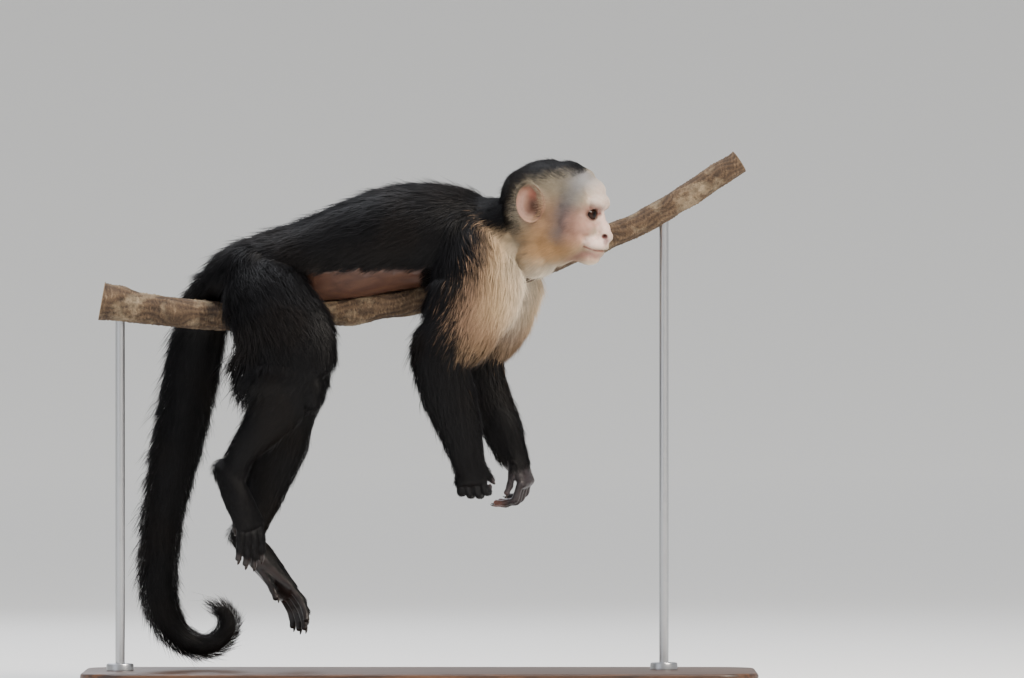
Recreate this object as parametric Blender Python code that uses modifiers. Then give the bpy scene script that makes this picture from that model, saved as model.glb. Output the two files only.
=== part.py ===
"""A life-size white-faced capuchin monkey lying along a cut branch on a display stand.

The animal faces +X, its right side faces -Y, and +Z is up. The origin is the centre of the
stand's base, on the floor. All sizes below are in millimetres and out to the tips of the coat.
The flesh is fused from lofted limbs and rounded masses, and then parted by thin cuts.
"""

import math

import bmesh
import bpy
from mathutils import Matrix, Vector

MM = 0.001
GAP = 0.35  # clearance between touching pieces
RIGHT, LEFT = -1, 1  # the side of the body, as the sign of Y

# --- Driving dimensions -------------------------------------------------------------------------

BASE_SIZE = (640, 240, 18)
BASE_CORNER_RADIUS = 40
BASE_EDGE_BEVEL = 3
ROD_RADIUS = 4.5
COLLAR_RADIUS, COLLAR_HEIGHT = 13, 7
ROD_X = {"stand_rod_rear": -284, "stand_rod_front": 232}

EYE_RADIUS = 8.2
EYE_CENTRE = (37.5, 13.5, -9)  # in head space, on the left
EYE_OPENING = (8, 8.6, 6.2)  # half sizes of the room cleared in front of an eye
EYE_OPENING_TURN = math.radians(24)
SOCKET_EXTRA = 0.4  # room for the flat sides of the faceted socket
HEAD_CENTRE = Vector((126, -31, 460))
HEAD_YAW = math.radians(-15)  # the face turns a little to the animal's right

# The branch: x, y, z and radius along its middle line.
BRANCH = [
    (-302, -15, 369, 18.5), (-280, -14, 365, 16.6), (-256, -13, 361, 14.9), (-209, -10, 356, 14.2),
    (-171, -7, 354, 13.8), (-123, -4, 355, 13.5), (-76, -2, 358, 13.3), (-38, 0, 364, 13.3),
    (0, 2, 370, 13.2), (57, 5, 383, 12.8), (104, 9, 400, 12.4), (152, 14, 419, 12.0),
    (209, 20, 443, 11.7), (266, 26, 477, 11.5), (304, 30, 502, 11.4),
]

# Lofts: x, y, z, half width across the body, half depth in the plane of the limb.
TRUNK = [
    (-192, 2, 382, 22, 17), (-184, 2, 389, 31, 26), (-166, 1, 397, 38, 31), (-138, 0, 404, 41, 34.5),
    (-109, 0, 411, 42, 37), (-81, 0, 418, 43, 41), (-52, 0, 425, 45, 46.5), (-24, 0, 430, 47, 50.5),
    (5, 0, 432, 47, 51.5), (33, -1, 431, 44, 49), (57, -4, 428, 39, 44), (78, -9, 428, 32, 37),
]
NECK = [(50, -3, 430, 36, 42), (76, -10, 435, 32, 36), (96, -18, 441, 30, 34), (120, -28, 448, 28, 32)]
ARM = {
    RIGHT: [
        (42, -30, 432, 20, 30), (50, -37, 410, 24, 42), (54, -43, 385, 24, 46), (46, -49, 362, 22, 44),
        (36, -54, 341, 20.5, 38), (22, -57, 325, 20, 30), (22, -56, 305, 19, 28.5),
        (29.5, -54, 275, 17.5, 26), (37, -52, 252, 15.5, 22.5), (43, -50, 230, 13, 18.5),
        (46.5, -49, 213, 12, 16),
    ],
    LEFT: [
        (60, 28, 432, 18, 30), (72, 36, 408, 22, 40), (78, 43, 385, 23, 40), (74, 48, 362, 21, 38),
        (65, 52, 341, 19.5, 35), (57, 54, 323, 19, 29), (57, 52, 300, 18.5, 26),
        (66, 49, 273, 17, 23.5), (77, 46, 250, 15, 20.5), (85, 44, 229, 12.5, 17), (92, 43, 213, 11.5, 14.5),
    ],
}
THIGH = {
    RIGHT: [
        (-166, -24, 402, 18, 24), (-151, -36, 380, 25, 43), (-134, -47, 354, 28, 46),
        (-117, -55, 330, 27, 44),
        (-101, -60, 307, 23, 31),
    ],
    LEFT: [
        (-160, 24, 396, 18, 24), (-146, 34, 370, 24, 36), (-130, 42, 342, 26, 40), (-118, 47, 314, 25, 37),
        (-108, 50, 288, 22, 27),
    ],
}
SHANK = {
    RIGHT: [
        (-116, -60, 298, 21, 24), (-132, -57, 272, 20, 30), (-143, -54, 255, 18, 24),
        (-159, -51, 236, 15, 18),
        (-171, -49, 219, 12.5, 14.5), (-176, -48, 204, 11.5, 14),
    ],
    LEFT: [
        (-113, 50, 276, 20, 23), (-121, 49, 256, 20, 24), (-130, 47, 232, 18, 24), (-140, 46, 208, 15.5, 21),
        (-149, 45, 184, 13.5, 19), (-156, 44, 164, 12, 16.5), (-161, 44, 151, 11.5, 15),
    ],
}
TAIL = [
    (-178, 6, 394, 21, 21), (-194, 15, 381, 23, 23), (-203, 26, 366, 25, 25), (-207, 34, 350, 26, 26),
    (-211, 37, 330, 27, 27), (-215, 38, 313, 27.5, 27.5), (-222, 38, 275, 27, 27),
    (-230, 37, 237, 25.5, 25.5),
    (-238, 36, 199, 23, 23), (-245, 35, 161, 20.5, 20.5), (-248.5, 34, 123, 19.5, 19.5),
    (-249, 33, 100, 18.8, 18.8), (-245, 32, 76, 17.5, 17.5), (-236, 31, 57, 15.8, 15.8),
    (-222, 30, 44, 14, 14), (-205, 29, 40, 13.2, 13.2), (-190, 28.5, 47, 12.6, 12.6),
    (-182.5, 28, 60, 12, 12), (-186, 27.5, 72, 10.4, 10.4), (-195, 27, 75.5, 7.6, 7.6),
]

# Rounded masses that fill out the shoulders, hips and flanks: centre, half sizes, turn about Y.
MASSES = [
    ((38, -24, 424), (40, 24, 40), 10), ((54, 22, 422), (38, 22, 38), 10),
    ((-156, -20, 396), (34, 24, 34), 25), ((-152, 20, 392), (34, 24, 34), 25),
    ((-150, -52, 314), (25, 17, 46), 2), ((-140, 48, 300), (24, 16, 40), 8),
]

# Cuts that part the flesh: a point on the cut and the direction of the piece beyond it.
CUTS = {
    "shoulder": {RIGHT: ((46, -26, 404), (0.06, -0.84, -0.54)), LEFT: ((64, 24, 402), (0.08, 0.84, -0.54))},
    "elbow": {RIGHT: ((22, -57, 318), (0.05, 0, -1)), LEFT: ((57, 54, 316), (0.05, 0, -1))},
    "wrist": {RIGHT: ((44, -50, 226), (0.28, 0, -0.96)), LEFT: ((86, 44, 226), (0.4, 0, -0.92))},
    "hip": {RIGHT: ((-152, -24, 378), (0.1, -0.80, -0.60)), LEFT: ((-148, 24, 374), (0.1, 0.80, -0.60))},
    "knee": {RIGHT: ((-126, -61, 287), (-0.12, 0.0, -0.99)), LEFT: ((-112, 50, 270), (-0.1, 0, -0.99))},
    "ankle": {RIGHT: ((-171, -49, 222), (-0.3, 0, -0.95)), LEFT: ((-157, 45, 170), (-0.4, 0, -0.92))},
}
# Further sides of each limb's share of the flesh, as for the cuts.
LIMB_SIDES = {
    "shoulder": {
        RIGHT: [((0, -1, 0), (0, -1, 0)), ((9, 0, 358), (0.86, 0, -0.51)), ((82, 0, 425), (-0.7, 0, -0.71))],
        LEFT: [((0, 1, 0), (0, 1, 0)), ((9, 0, 358), (0.86, 0, -0.51)), ((94, 0, 425), (-0.6, 0, -0.8))],
    },
    "hip": {
        RIGHT: [((0, -1, 0), (0, -1, 0)), ((-98, 0, 392), (-0.9, 0, -0.43))],
        # The left leg hangs in front of the tail, so two more sides keep the tail out of its share.
        LEFT: [
            ((0, 1, 0), (0, 1, 0)), ((-98, 0, 392), (-0.9, 0, -0.43)), ((-180, 0, 360), (1, 0, 0)),
            ((0, 0, 140), (0, 0, 1)),
        ],
    },
}
HEAD_CUT = (Vector((94, -16, 441)), Vector((0.93, -0.2, 0.30)))
NECK_CUT = (Vector((72, -8, 434)), Vector((0.95, -0.12, 0.26)))
TAIL_CUTS = [
    (Vector((-197, 17, 378)), Vector((-0.62, 0.5, -0.6))),
    (Vector((-226, 38, 256)), Vector((-0.2, 0, -0.98))),
    (Vector((-248.5, 34, 124)), Vector((-0.07, 0, -1))),
]

# Hands: wrist, pointing direction, direction of the back of the hand, and how far the fingers bend.
HANDS = {
    RIGHT: {"wrist": (45.5, -49, 226), "point": (0.10, 0.04, -1), "back": (-0.25, -0.97, 0),
            "bends": (24, 58, 44), "palm": 28, "digit": 0.88, "thumb": (0.34, 0.9)},
    LEFT: {"wrist": (87, 43, 226), "point": (0.42, 0, -0.90), "back": (0.80, -0.42, 0.40),
           "bends": (46, 52, 16), "palm": 34, "digit": 1.04, "thumb": (0.3, 0.95)},
}
# Feet: the sole's middle line from heel to ball (x, y, z, half width, half depth), then as for the hands.
FEET = {
    RIGHT: {
        "sole": [(-186, -47, 213, 10, 10), (-180, -47, 200, 12, 14), (-173, -48, 182, 13.5, 14),
                 (-166, -49, 168, 15, 11), (-161, -50, 157, 15.5, 8)],
        "point": (0.11, 0, -1), "top": (0.55, -0.80, 0.22), "curl": (2, 10, 8),
        "hallux": ((-172, -41, 184), (0.04, 0.36, -0.9)),
    },
    LEFT: {
        "sole": [(-174, 44, 150, 9.5, 10.5), (-164, 44, 138, 11, 14), (-151, 43, 122, 13, 13.5),
                 (-137, 42, 104, 14.5, 10.5), (-127, 41, 91, 15.5, 8)],
        "point": (0.58, 0, -0.81), "top": (0.64, 0.58, 0.46), "curl": (0, 20, 16),
        "hallux": ((-154, 37, 116), (0.60, -0.34, -0.74)),
    },
}

COLOURS = {
    "black_coat": ((0.016, 0.015, 0.016, 1), 0.75),
    "pale_coat": ((0.62, 0.49, 0.36, 1), 0.8),
    "dark_skin": ((0.055, 0.042, 0.040, 1), 0.6),
    "ear_skin": ((0.60, 0.36, 0.30, 1), 0.6),
    "eye": ((0.06, 0.028, 0.012, 1), 0.08),
    "bark": ((0.20, 0.14, 0.09, 1), 0.9),
    "base_wood": ((0.17, 0.09, 0.05, 1), 0.45),
    "rod_steel": ((0.62, 0.62, 0.63, 1), 0.3),
}

# Hands and feet: each digit's place across the palm or sole, and its length beside the middle one.
FINGERS = [(9.6, 0.94), (3.3, 1.06), (-3.2, 1.0), (-9.2, 0.84)]
FINGER_BONES, FINGER_RADIUS, FINGER_SPLAY = (19, 12, 9.5), 3.9, 0.008
THUMB_BONES, THUMB_BENDS, THUMB_RADIUS = (13, 10, 7), (6, 14, 14), 4.2
TOES = [(10.4, 0.92), (3.5, 1.06), (-3.6, 1.0), (-10.4, 0.86)]
TOE_BONES, TOE_RADIUS, TOE_SPLAY = (19, 13, 9.5), 4.1, 0.007
HALLUX_BONES, HALLUX_BENDS, HALLUX_RADIUS = (16, 13, 9), (4, 8, 8), 4.9

# Each loft ends in a dome this deep beside its half width, through rings at these degrees.
END_BULGE, END_RINGS = 0.7, (30, 60, 84)

# --- Shared tools -------------------------------------------------------------------------------


def clear_scene():
    """Removes the startup objects."""
    for obj in list(bpy.data.objects):
        bpy.data.objects.remove(obj, do_unlink=True)


def collection(name, hidden=False):
    """A new collection of the scene, which may be left out of renders."""
    made = bpy.data.collections.new(name)
    bpy.context.scene.collection.children.link(made)
    made.hide_render = hidden
    return made


def material(name):
    """The Principled material of this name, from COLOURS."""
    found = bpy.data.materials.get(name)
    if found:
        return found
    colour, roughness = COLOURS[name]
    made = bpy.data.materials.new(name)
    made.use_nodes = True
    shader = made.node_tree.nodes["Principled BSDF"]
    shader.inputs["Base Color"].default_value = colour
    shader.inputs["Roughness"].default_value = roughness
    shader.inputs["Metallic"].default_value = 1.0 if name == "rod_steel" else 0.0
    return made


def object_from(bm, name, group):
    """A new object of this bmesh, with its faces pointing out."""
    bmesh.ops.recalc_face_normals(bm, faces=bm.faces)
    mesh = bpy.data.meshes.new(name)
    bm.to_mesh(mesh)
    bm.free()
    obj = bpy.data.objects.new(name, mesh)
    group.objects.link(obj)
    return obj


def evaluated_mesh(obj):
    """A new mesh of the object with its modifiers applied."""
    graph = bpy.context.evaluated_depsgraph_get()
    return bpy.data.meshes.new_from_object(obj.evaluated_get(graph))


def settle(obj):
    """Turns an object's modifiers into its mesh."""
    mesh = evaluated_mesh(obj)
    obj.modifiers.clear()
    obj.data = mesh
    return obj


def smooth_point(points, index, share):
    """A point of the Catmull-Rom curve through points, each a tuple of numbers."""
    last = len(points) - 1
    a, b, c, d = (points[min(max(index + k, 0), last)] for k in (-1, 0, 1, 2))
    t, t2, t3 = share, share * share, share**3
    return [
        0.5 * (2 * q + (r - p) * t + (2 * p - 5 * q + 4 * r - s) * t2 + (3 * q - p - 3 * r + s) * t3)
        for p, q, r, s in zip(a, b, c, d)
    ]


def smoothed(points, step):
    """The curve through points, with about step millimetres between its own points."""
    made = []
    for i in range(len(points) - 1):
        span = (Vector(points[i + 1][:3]) - Vector(points[i][:3])).length
        count = max(1, round(span / step))
        made += [smooth_point(points, i, k / count) for k in range(count)]
    return made + [list(points[-1])]


def loft(bm, stations, sides=20, step=5.0, side_axis=(0, 1, 0)):
    """Adds a closed tube of ovals, with round ends, through stations of x, y, z, half width, half depth."""
    path = smoothed(stations, step)
    rings = []
    for i, station in enumerate(path):
        before, after = path[max(i - 1, 0)], path[min(i + 1, len(path) - 1)]
        along = (Vector(after[:3]) - Vector(before[:3])).normalized()
        side = Vector(side_axis)
        side = (side - along * side.dot(along)).normalized()
        rings.append((Vector(station[:3]), along, side, along.cross(side), station[3], station[4]))
    ends = []
    for ring, sense in ((rings[0], -1), (rings[-1], 1)):
        centre, along, side, up, wide, deep = ring
        bulge = END_BULGE * min(wide, deep)
        caps = []
        for angle in END_RINGS:
            turn = math.radians(angle)
            shift = along * (sense * bulge * math.sin(turn))
            caps.append((centre + shift, along, side, up, wide * math.cos(turn), deep * math.cos(turn)))
        ends.append(caps)
    rings = ends[0][::-1] + rings + ends[1]
    loops = []
    for centre, _, side, up, wide, deep in rings:
        loop = []
        for k in range(sides):
            turn = math.tau * k / sides
            point = centre + side * (wide * math.cos(turn)) + up * (deep * math.sin(turn))
            loop.append(bm.verts.new(point * MM))
        loops.append(loop)
    for low, high in zip(loops, loops[1:]):
        for k in range(sides):
            m = (k + 1) % sides
            bm.faces.new((low[k], low[m], high[m], high[k]))
    bm.faces.new(loops[0][::-1])
    bm.faces.new(loops[-1])


def mass(bm, centre, halves, turn=0.0, frame=None, segments=24):
    """Adds an ellipsoid with these half sizes, turned by degrees about Y, in a frame or the model's own."""
    place = Matrix.Translation(Vector(centre) * MM)
    place = place @ Matrix.Rotation(math.radians(turn), 4, "Y")
    place = place @ Matrix.Diagonal((*(h * MM for h in halves), 1.0))
    if frame is not None:
        place = frame @ place
    bmesh.ops.create_uvsphere(bm, u_segments=segments, v_segments=segments // 2, radius=1.0, matrix=place)


def fuse(obj, voxel, passes, triangles):
    """Fuses the overlapping closed shapes of obj into one smooth skin of about this many triangles."""
    remesh = obj.modifiers.new("fuse", "REMESH")
    remesh.mode = "VOXEL"
    remesh.voxel_size = voxel * MM
    soften = obj.modifiers.new("soften", "SMOOTH")
    soften.factor = 0.5
    soften.iterations = passes
    settle(obj)
    faces = sum(len(p.vertices) - 2 for p in obj.data.polygons)
    thin = obj.modifiers.new("thin", "DECIMATE")
    thin.ratio = min(1.0, triangles / faces)
    settle(obj)
    return obj


def region(name, planes, group, grow=0.0):
    """The convex space on the far side of every plane, each a point and a direction, moved back by grow."""
    bm = bmesh.new()
    bmesh.ops.create_cube(bm, size=1.6, matrix=Matrix.Translation((0, 0, 0.3)))
    for point, direction in planes:
        away = Vector(direction).normalized()
        cut = bmesh.ops.bisect_plane(
            bm, geom=[*bm.verts, *bm.edges, *bm.faces], dist=1e-7,
            plane_co=(Vector(point) - away * grow) * MM, plane_no=away, clear_inner=True,
        )
        bmesh.ops.holes_fill(bm, edges=[g for g in cut["geom_cut"] if isinstance(g, bmesh.types.BMEdge)])
    obj = object_from(bm, name, group)
    obj.display_type = "WIRE"
    obj.hide_render = True
    return obj


def boolean(obj, cutter, operation):
    """Applies an exact Boolean with this cutter."""
    modifier = obj.modifiers.new("cut", "BOOLEAN")
    modifier.object = cutter
    modifier.operation = operation
    modifier.solver = "EXACT"
    return settle(obj)


def duplicate(obj, name, group):
    """A copy of the piece under a new name."""
    made = bpy.data.objects.new(name, obj.data.copy())
    group.objects.link(made)
    return made


def keep_largest(obj):
    """Drops the crumbs that a cut leaves beside the piece."""
    bm = bmesh.new()
    bm.from_mesh(obj.data)
    unseen = set(bm.verts)
    islands = []
    while unseen:
        front, island = [unseen.pop()], []
        while front:
            vert = front.pop()
            island.append(vert)
            for edge in vert.link_edges:
                other = edge.other_vert(vert)
                if other in unseen:
                    unseen.discard(other)
                    front.append(other)
        islands.append(island)
    islands.sort(key=len, reverse=True)
    bmesh.ops.delete(bm, geom=[v for island in islands[1:] for v in island], context="VERTS")
    bm.to_mesh(obj.data)
    bm.free()
    return obj


def sliced(obj, point, direction, name, group):
    """Parts obj at a plane: returns a new object of what lies beyond it, and leaves obj with the rest."""
    beyond = duplicate(obj, name, group)
    away = Vector(direction).normalized()
    half_gap = away * (GAP / 2)
    for piece, sense in ((beyond, 1), (obj, -1)):
        bm = bmesh.new()
        bm.from_mesh(piece.data)
        cut = bmesh.ops.bisect_plane(
            bm, geom=[*bm.verts, *bm.edges, *bm.faces], dist=1e-7,
            plane_co=(Vector(point) + half_gap * sense) * MM, plane_no=away * sense, clear_inner=True,
        )
        edges = [g for g in cut["geom_cut"] if isinstance(g, bmesh.types.BMEdge)]
        bmesh.ops.holes_fill(bm, edges=edges)
        bmesh.ops.triangulate(bm, faces=bm.faces)
        bmesh.ops.recalc_face_normals(bm, faces=bm.faces)
        bm.to_mesh(piece.data)
        bm.free()
        keep_largest(piece)
    return beyond


def finish(obj, slot):
    """Gives the piece its colour and smooth shading."""
    obj.data.materials.clear()
    obj.data.materials.append(material(slot))
    obj.data.shade_smooth()
    return obj


# --- The branch and the stand -------------------------------------------------------------------


def branch_tube(name, group, extra=0.0, sides=11):
    """The branch as a round tube of changing radius, with flat sawn ends."""
    bm = bmesh.new()
    path = smoothed(BRANCH, 34.0)
    loops = []
    for i, (x, y, z, radius) in enumerate(path):
        before, after = path[max(i - 1, 0)], path[min(i + 1, len(path) - 1)]
        along = (Vector(after[:3]) - Vector(before[:3])).normalized()
        side = (Vector((0, 1, 0)) - along * along.y).normalized()
        up = along.cross(side)
        centre = Vector((x, y, z))
        loop = []
        for k in range(sides):
            turn = math.tau * (k + 0.5) / sides
            spoke = side * math.cos(turn) + up * math.sin(turn)
            loop.append(bm.verts.new((centre + spoke * (radius + extra)) * MM))
        loops.append(loop)
    for low, high in zip(loops, loops[1:]):
        for k in range(sides):
            m = (k + 1) % sides
            bm.faces.new((low[k], low[m], high[m], high[k]))
    bm.faces.new(loops[0][::-1])
    bm.faces.new(loops[-1])
    return object_from(bm, name, group)


def branch_at(x):
    """The branch's middle line at this x: its y, z, radius and slope there."""
    path = smoothed(BRANCH, 2.0)
    nearest = min(range(1, len(path) - 1), key=lambda i: abs(path[i][0] - x))
    before, after = path[nearest - 1], path[nearest + 1]
    slope = (after[2] - before[2]) / (after[0] - before[0])
    return path[nearest][1], path[nearest][2], path[nearest][3], slope


def stand_base(group):
    """A flat board with rounded corners and an eased top edge."""
    long, wide, thick = BASE_SIZE
    curve = bpy.data.curves.new("stand_base", "CURVE")
    curve.dimensions = "2D"
    curve.fill_mode = "BOTH"
    curve.extrude = (thick / 2 - BASE_EDGE_BEVEL) * MM
    curve.bevel_depth = BASE_EDGE_BEVEL * MM
    curve.bevel_resolution = 0
    curve.offset = -BASE_EDGE_BEVEL * MM
    points = []
    for sx, sy, start in ((1, 1, 0), (-1, 1, 90), (-1, -1, 180), (1, -1, 270)):
        cx = sx * (long / 2 - BASE_CORNER_RADIUS)
        cy = sy * (wide / 2 - BASE_CORNER_RADIUS)
        for angle in range(start, start + 91, 18):
            turn = math.radians(angle)
            reach = BASE_CORNER_RADIUS
            points.append((cx + reach * math.cos(turn), cy + reach * math.sin(turn)))
    spline = curve.splines.new("POLY")
    spline.points.add(len(points) - 1)
    for point, (x, y) in zip(spline.points, points):
        point.co = (x * MM, y * MM, 0, 1)
    spline.use_cyclic_u = True
    drawn = bpy.data.objects.new("stand_base_outline", curve)
    group.objects.link(drawn)
    mesh = evaluated_mesh(drawn)
    bpy.data.objects.remove(drawn)
    bm = bmesh.new()
    bm.from_mesh(mesh)
    bmesh.ops.remove_doubles(bm, verts=bm.verts, dist=0.00002)
    bmesh.ops.translate(bm, verts=bm.verts, vec=(0, 0, thick / 2 * MM))
    return finish(object_from(bm, "stand_base", group), "base_wood")


def cylinder(name, group, x, y, low, high, radius, slot, sides=10):
    """An upright cylinder between two heights."""
    bm = bmesh.new()
    place = Matrix.Translation(Vector((x, y, (low + high) / 2)) * MM)
    bmesh.ops.create_cone(
        bm, cap_ends=True, segments=sides, radius1=radius * MM, radius2=radius * MM,
        depth=(high - low) * MM, matrix=place,
    )
    return finish(object_from(bm, name, group), slot)


def stand(group, cutters):
    """Two rods with collars, which carry the branch on their cupped tops."""
    top = BASE_SIZE[2]
    for name, x in ROD_X.items():
        y, z, radius, slope = branch_at(x)
        rod = cylinder(name, group, x, y, top + GAP, z, ROD_RADIUS, "rod_steel")
        cutter = branch_tube("branch_clearance", cutters, extra=GAP)
        boolean(rod, cutter, "DIFFERENCE")
        keep_largest(rod)
        bpy.data.objects.remove(cutter)
        high = top + COLLAR_HEIGHT
        ring = name.replace("rod", "collar")
        collar = cylinder(ring, group, x, y, top + GAP, high, COLLAR_RADIUS, "rod_steel", sides=16)
        sleeve = cylinder("sleeve", cutters, x, y, top - 5, high + 5, ROD_RADIUS + GAP, "rod_steel", sides=12)
        boolean(collar, sleeve, "DIFFERENCE")
        bpy.data.objects.remove(sleeve)


# --- The flesh ----------------------------------------------------------------------------------


def flesh(group):
    """The trunk, neck, limbs and tail, fused in one."""
    bm = bmesh.new()
    loft(bm, TRUNK, sides=28)
    loft(bm, NECK)
    for side in (RIGHT, LEFT):
        loft(bm, ARM[side])
        loft(bm, THIGH[side])
        loft(bm, SHANK[side])
    loft(bm, TAIL, sides=16)
    for centre, halves, turn in MASSES:
        mass(bm, centre, halves, turn)
    return fuse(object_from(bm, "flesh", group), voxel=2.4, passes=8, triangles=2400)


def head_frame():
    """Head space: +X out of the face, +Y to the animal's left, +Z to the crown."""
    return Matrix.Translation(HEAD_CENTRE * MM) @ Matrix.Rotation(HEAD_YAW, 4, "Z")


# Masses of the head in its own space: centre, half sizes, turn about the ear-to-ear axis.
HEAD_MASSES = [
    ((-3, 0, 6), (44.5, 33.5, 38), 0),  # brain case
    ((21, 0, 8), (30.5, 29, 29), 0),  # forehead
    ((44, 0, 5), (11, 17, 9), 0),  # between the brows
    ((-16, 0, -10), (31, 33, 34), 0),  # back of the head, into the neck
    ((10, 0, -29), (33, 28.5, 27.5), 6),  # jaws
    ((1, 0, -39), (25, 24, 20), 12),  # throat
    ((40.5, 0, -38), (14, 13.5, 13), 0),  # muzzle
    ((34.5, 0, -48.5), (13.5, 12.5, 8.8), 4),  # chin
    ((46, 0, -12), (6.4, 5.2, 13), -14),  # bridge of the nose
    ((50, 0, -21.5), (6, 5.6, 9), -30),  # slope of the nose
    ((51.5, 0, -30), (7.2, 6.8, 5.8), 0),  # tip of the nose
]
HEAD_PAIRS = [
    ((47.5, 10, -0.5), (7.5, 11, 5), -6),  # brow
    ((27, 21, -18), (14, 9.5, 12), 0),  # cheek bone
    ((37, 10, -23), (9.5, 9, 9), 0),  # below the eye
    ((18, 19, -36), (23, 12, 16), 10),  # cheek
    ((25, 22, 3), (16, 9, 15), 0),  # temple
    ((42, 8, -41), (10.5, 7.5, 7.5), 0),  # side of the muzzle
    ((49, 5, -31.5), (4.6, 4, 4.2), 0),  # wing of the nose
]


def head(group):
    """The head and face, with the end of the neck."""
    frame = head_frame()
    bm = bmesh.new()
    for centre, halves, turn in HEAD_MASSES:
        mass(bm, centre, halves, turn, frame=frame)
    for (x, y, z), halves, turn in HEAD_PAIRS:
        for side in (RIGHT, LEFT):
            mass(bm, (x, side * y, z), halves, turn, frame=frame)
    loft(bm, NECK)
    return fuse(object_from(bm, "head", group), voxel=1.5, passes=4, triangles=1560)


def eye_place(side):
    """The middle of an eye, in metres."""
    front, out, high = EYE_CENTRE
    return head_frame() @ (Vector((front, side * out, high)) * MM)


def eye(side, group):
    """One eyeball."""
    bm = bmesh.new()
    bmesh.ops.create_uvsphere(
        bm, u_segments=10, v_segments=7, radius=EYE_RADIUS * MM, matrix=Matrix.Translation(eye_place(side)),
    )
    name = "eye_right" if side == RIGHT else "eye_left"
    return finish(object_from(bm, name, group), "eye")


def cut_sockets(obj, cutters):
    """The eye sockets, each a ball's room round the eye with an opening to the front and side."""
    for side in (RIGHT, LEFT):
        bm = bmesh.new()
        middle = head_frame().inverted() @ eye_place(side) / MM
        room = EYE_RADIUS + GAP + SOCKET_EXTRA
        mass(bm, middle, (room, room, room), frame=head_frame(), segments=14)
        turn = head_frame() @ Matrix.Translation(middle * MM)
        turn = turn @ Matrix.Rotation(side * EYE_OPENING_TURN, 4, "Z")
        mass(bm, (EYE_RADIUS, 0, 0), EYE_OPENING, frame=turn, segments=14)
        ball = object_from(bm, "socket", cutters)
        fuse(ball, voxel=0.9, passes=1, triangles=160)
        boolean(obj, ball, "DIFFERENCE")
        bpy.data.objects.remove(ball)
    return obj


# The ear: height, width, thickness of its rim, and how deep its middle is dished.
EAR_HEIGHT, EAR_WIDTH, EAR_RIM, EAR_DISH = 41.0, 31.0, 2.3, 5.0
EAR_CENTRE = (-13, 35.5, -1)  # in head space, on the left
EAR_SPLAY, EAR_LEAN = 24, -8  # degrees out from the head, and back


def ear(side, group):
    """A rounded shell that stands off the head behind, with a rolled rim and a dished middle."""
    bm = bmesh.new()
    around, across = 14, 3
    rows = []
    for j in range(across + 1):
        share = j / across
        row = []
        for k in range(around):
            turn = math.tau * k / around
            reach = 1.0 - 0.06 * math.cos(2 * turn) - 0.08 * max(0.0, -math.sin(turn))
            x = -0.5 * EAR_WIDTH * reach * share * math.cos(turn)
            z = 0.5 * EAR_HEIGHT * reach * share * math.sin(turn)
            y = EAR_DISH * share**2
            row.append(bm.verts.new((x * MM, y * MM, z * MM)))
        rows.append(row)
    bmesh.ops.remove_doubles(bm, verts=rows[0], dist=1e-6)
    bm.verts.ensure_lookup_table()
    centre = min(bm.verts, key=lambda v: v.co.length)
    first = rows[1]
    for k in range(around):
        bm.faces.new((centre, first[k], first[(k + 1) % around]))
    for low, high in zip(rows[1:], rows[2:]):
        for k in range(around):
            m = (k + 1) % around
            bm.faces.new((low[k], high[k], high[m], low[m]))
    name = "ear_right" if side == RIGHT else "ear_left"
    obj = object_from(bm, name, group)
    wall = obj.modifiers.new("wall", "SOLIDIFY")
    wall.thickness = EAR_RIM * MM
    wall.offset = 0.0
    settle(obj)
    flip = Matrix.Diagonal((1, side, 1, 1))
    splay = Matrix.Rotation(math.radians(EAR_SPLAY * side), 4, "Z")
    splay = splay @ Matrix.Rotation(math.radians(EAR_LEAN), 4, "Y")
    back, out, high = EAR_CENTRE
    place = head_frame() @ Matrix.Translation(Vector((back, side * out, high)) * MM) @ splay @ flip
    obj.data.transform(place)
    if place.determinant() < 0:
        obj.data.flip_normals()
    return obj


def hand(side, group):
    """The palm, four bent fingers and the thumb, with the end of the forearm."""
    spec = HANDS[side]
    wrist = Vector(spec["wrist"])
    point = Vector(spec["point"]).normalized()
    back = Vector(spec["back"])
    back = (back - point * back.dot(point)).normalized()
    # The thumb's side: to the front on this animal's hanging hands.
    thumbward = back.cross(point) if side == RIGHT else point.cross(back)
    bm = bmesh.new()
    loft(bm, ARM[side][-4:])
    knuckles = wrist + point * spec["palm"]
    palm = [
        (*(wrist - point * 6), 10.5, 9.5),
        (*(wrist + point * 6), 12.0, 9.0),
        (*(wrist + point * 18), 14.0, 8.2),
        (*knuckles, 14.5, 6.6),
    ]
    loft(bm, palm, sides=16, step=4, side_axis=thumbward)
    for spread, length in FINGERS:
        root = knuckles + thumbward * spread - point * 3
        splayed = (point + thumbward * (spread * FINGER_SPLAY)).normalized()
        bones = [s * length * spec["digit"] for s in FINGER_BONES]
        digit(bm, root, splayed, back, bones, spec["bends"], FINGER_RADIUS)
    root = wrist + point * 9 + thumbward * 10
    reach, droop = spec["thumb"]
    heading = (point * droop + thumbward * reach - back * 0.22).normalized()
    bones = [s * spec["digit"] for s in THUMB_BONES]
    digit(bm, root, heading, back, bones, THUMB_BENDS, THUMB_RADIUS)
    name = "hand_right" if side == RIGHT else "hand_left"
    return fuse(object_from(bm, name, group), voxel=1.15, passes=2, triangles=560)


def digit(bm, root, heading, back, lengths, bends, radius):
    """A finger or toe of three bones, each bent towards the palm or sole by its own angle."""
    hinge = heading.cross(back).normalized()
    stations = [(*root, radius, radius)]
    place = Vector(root)
    for k, (length, bend) in enumerate(zip(lengths, bends)):
        heading = Matrix.Rotation(math.radians(-bend), 3, hinge) @ heading
        place = place + heading * length
        thick = radius * (1 - 0.10 * (k + 1))
        stations.append((*place, thick, thick))
    loft(bm, stations, sides=10, step=3, side_axis=hinge)


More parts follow.
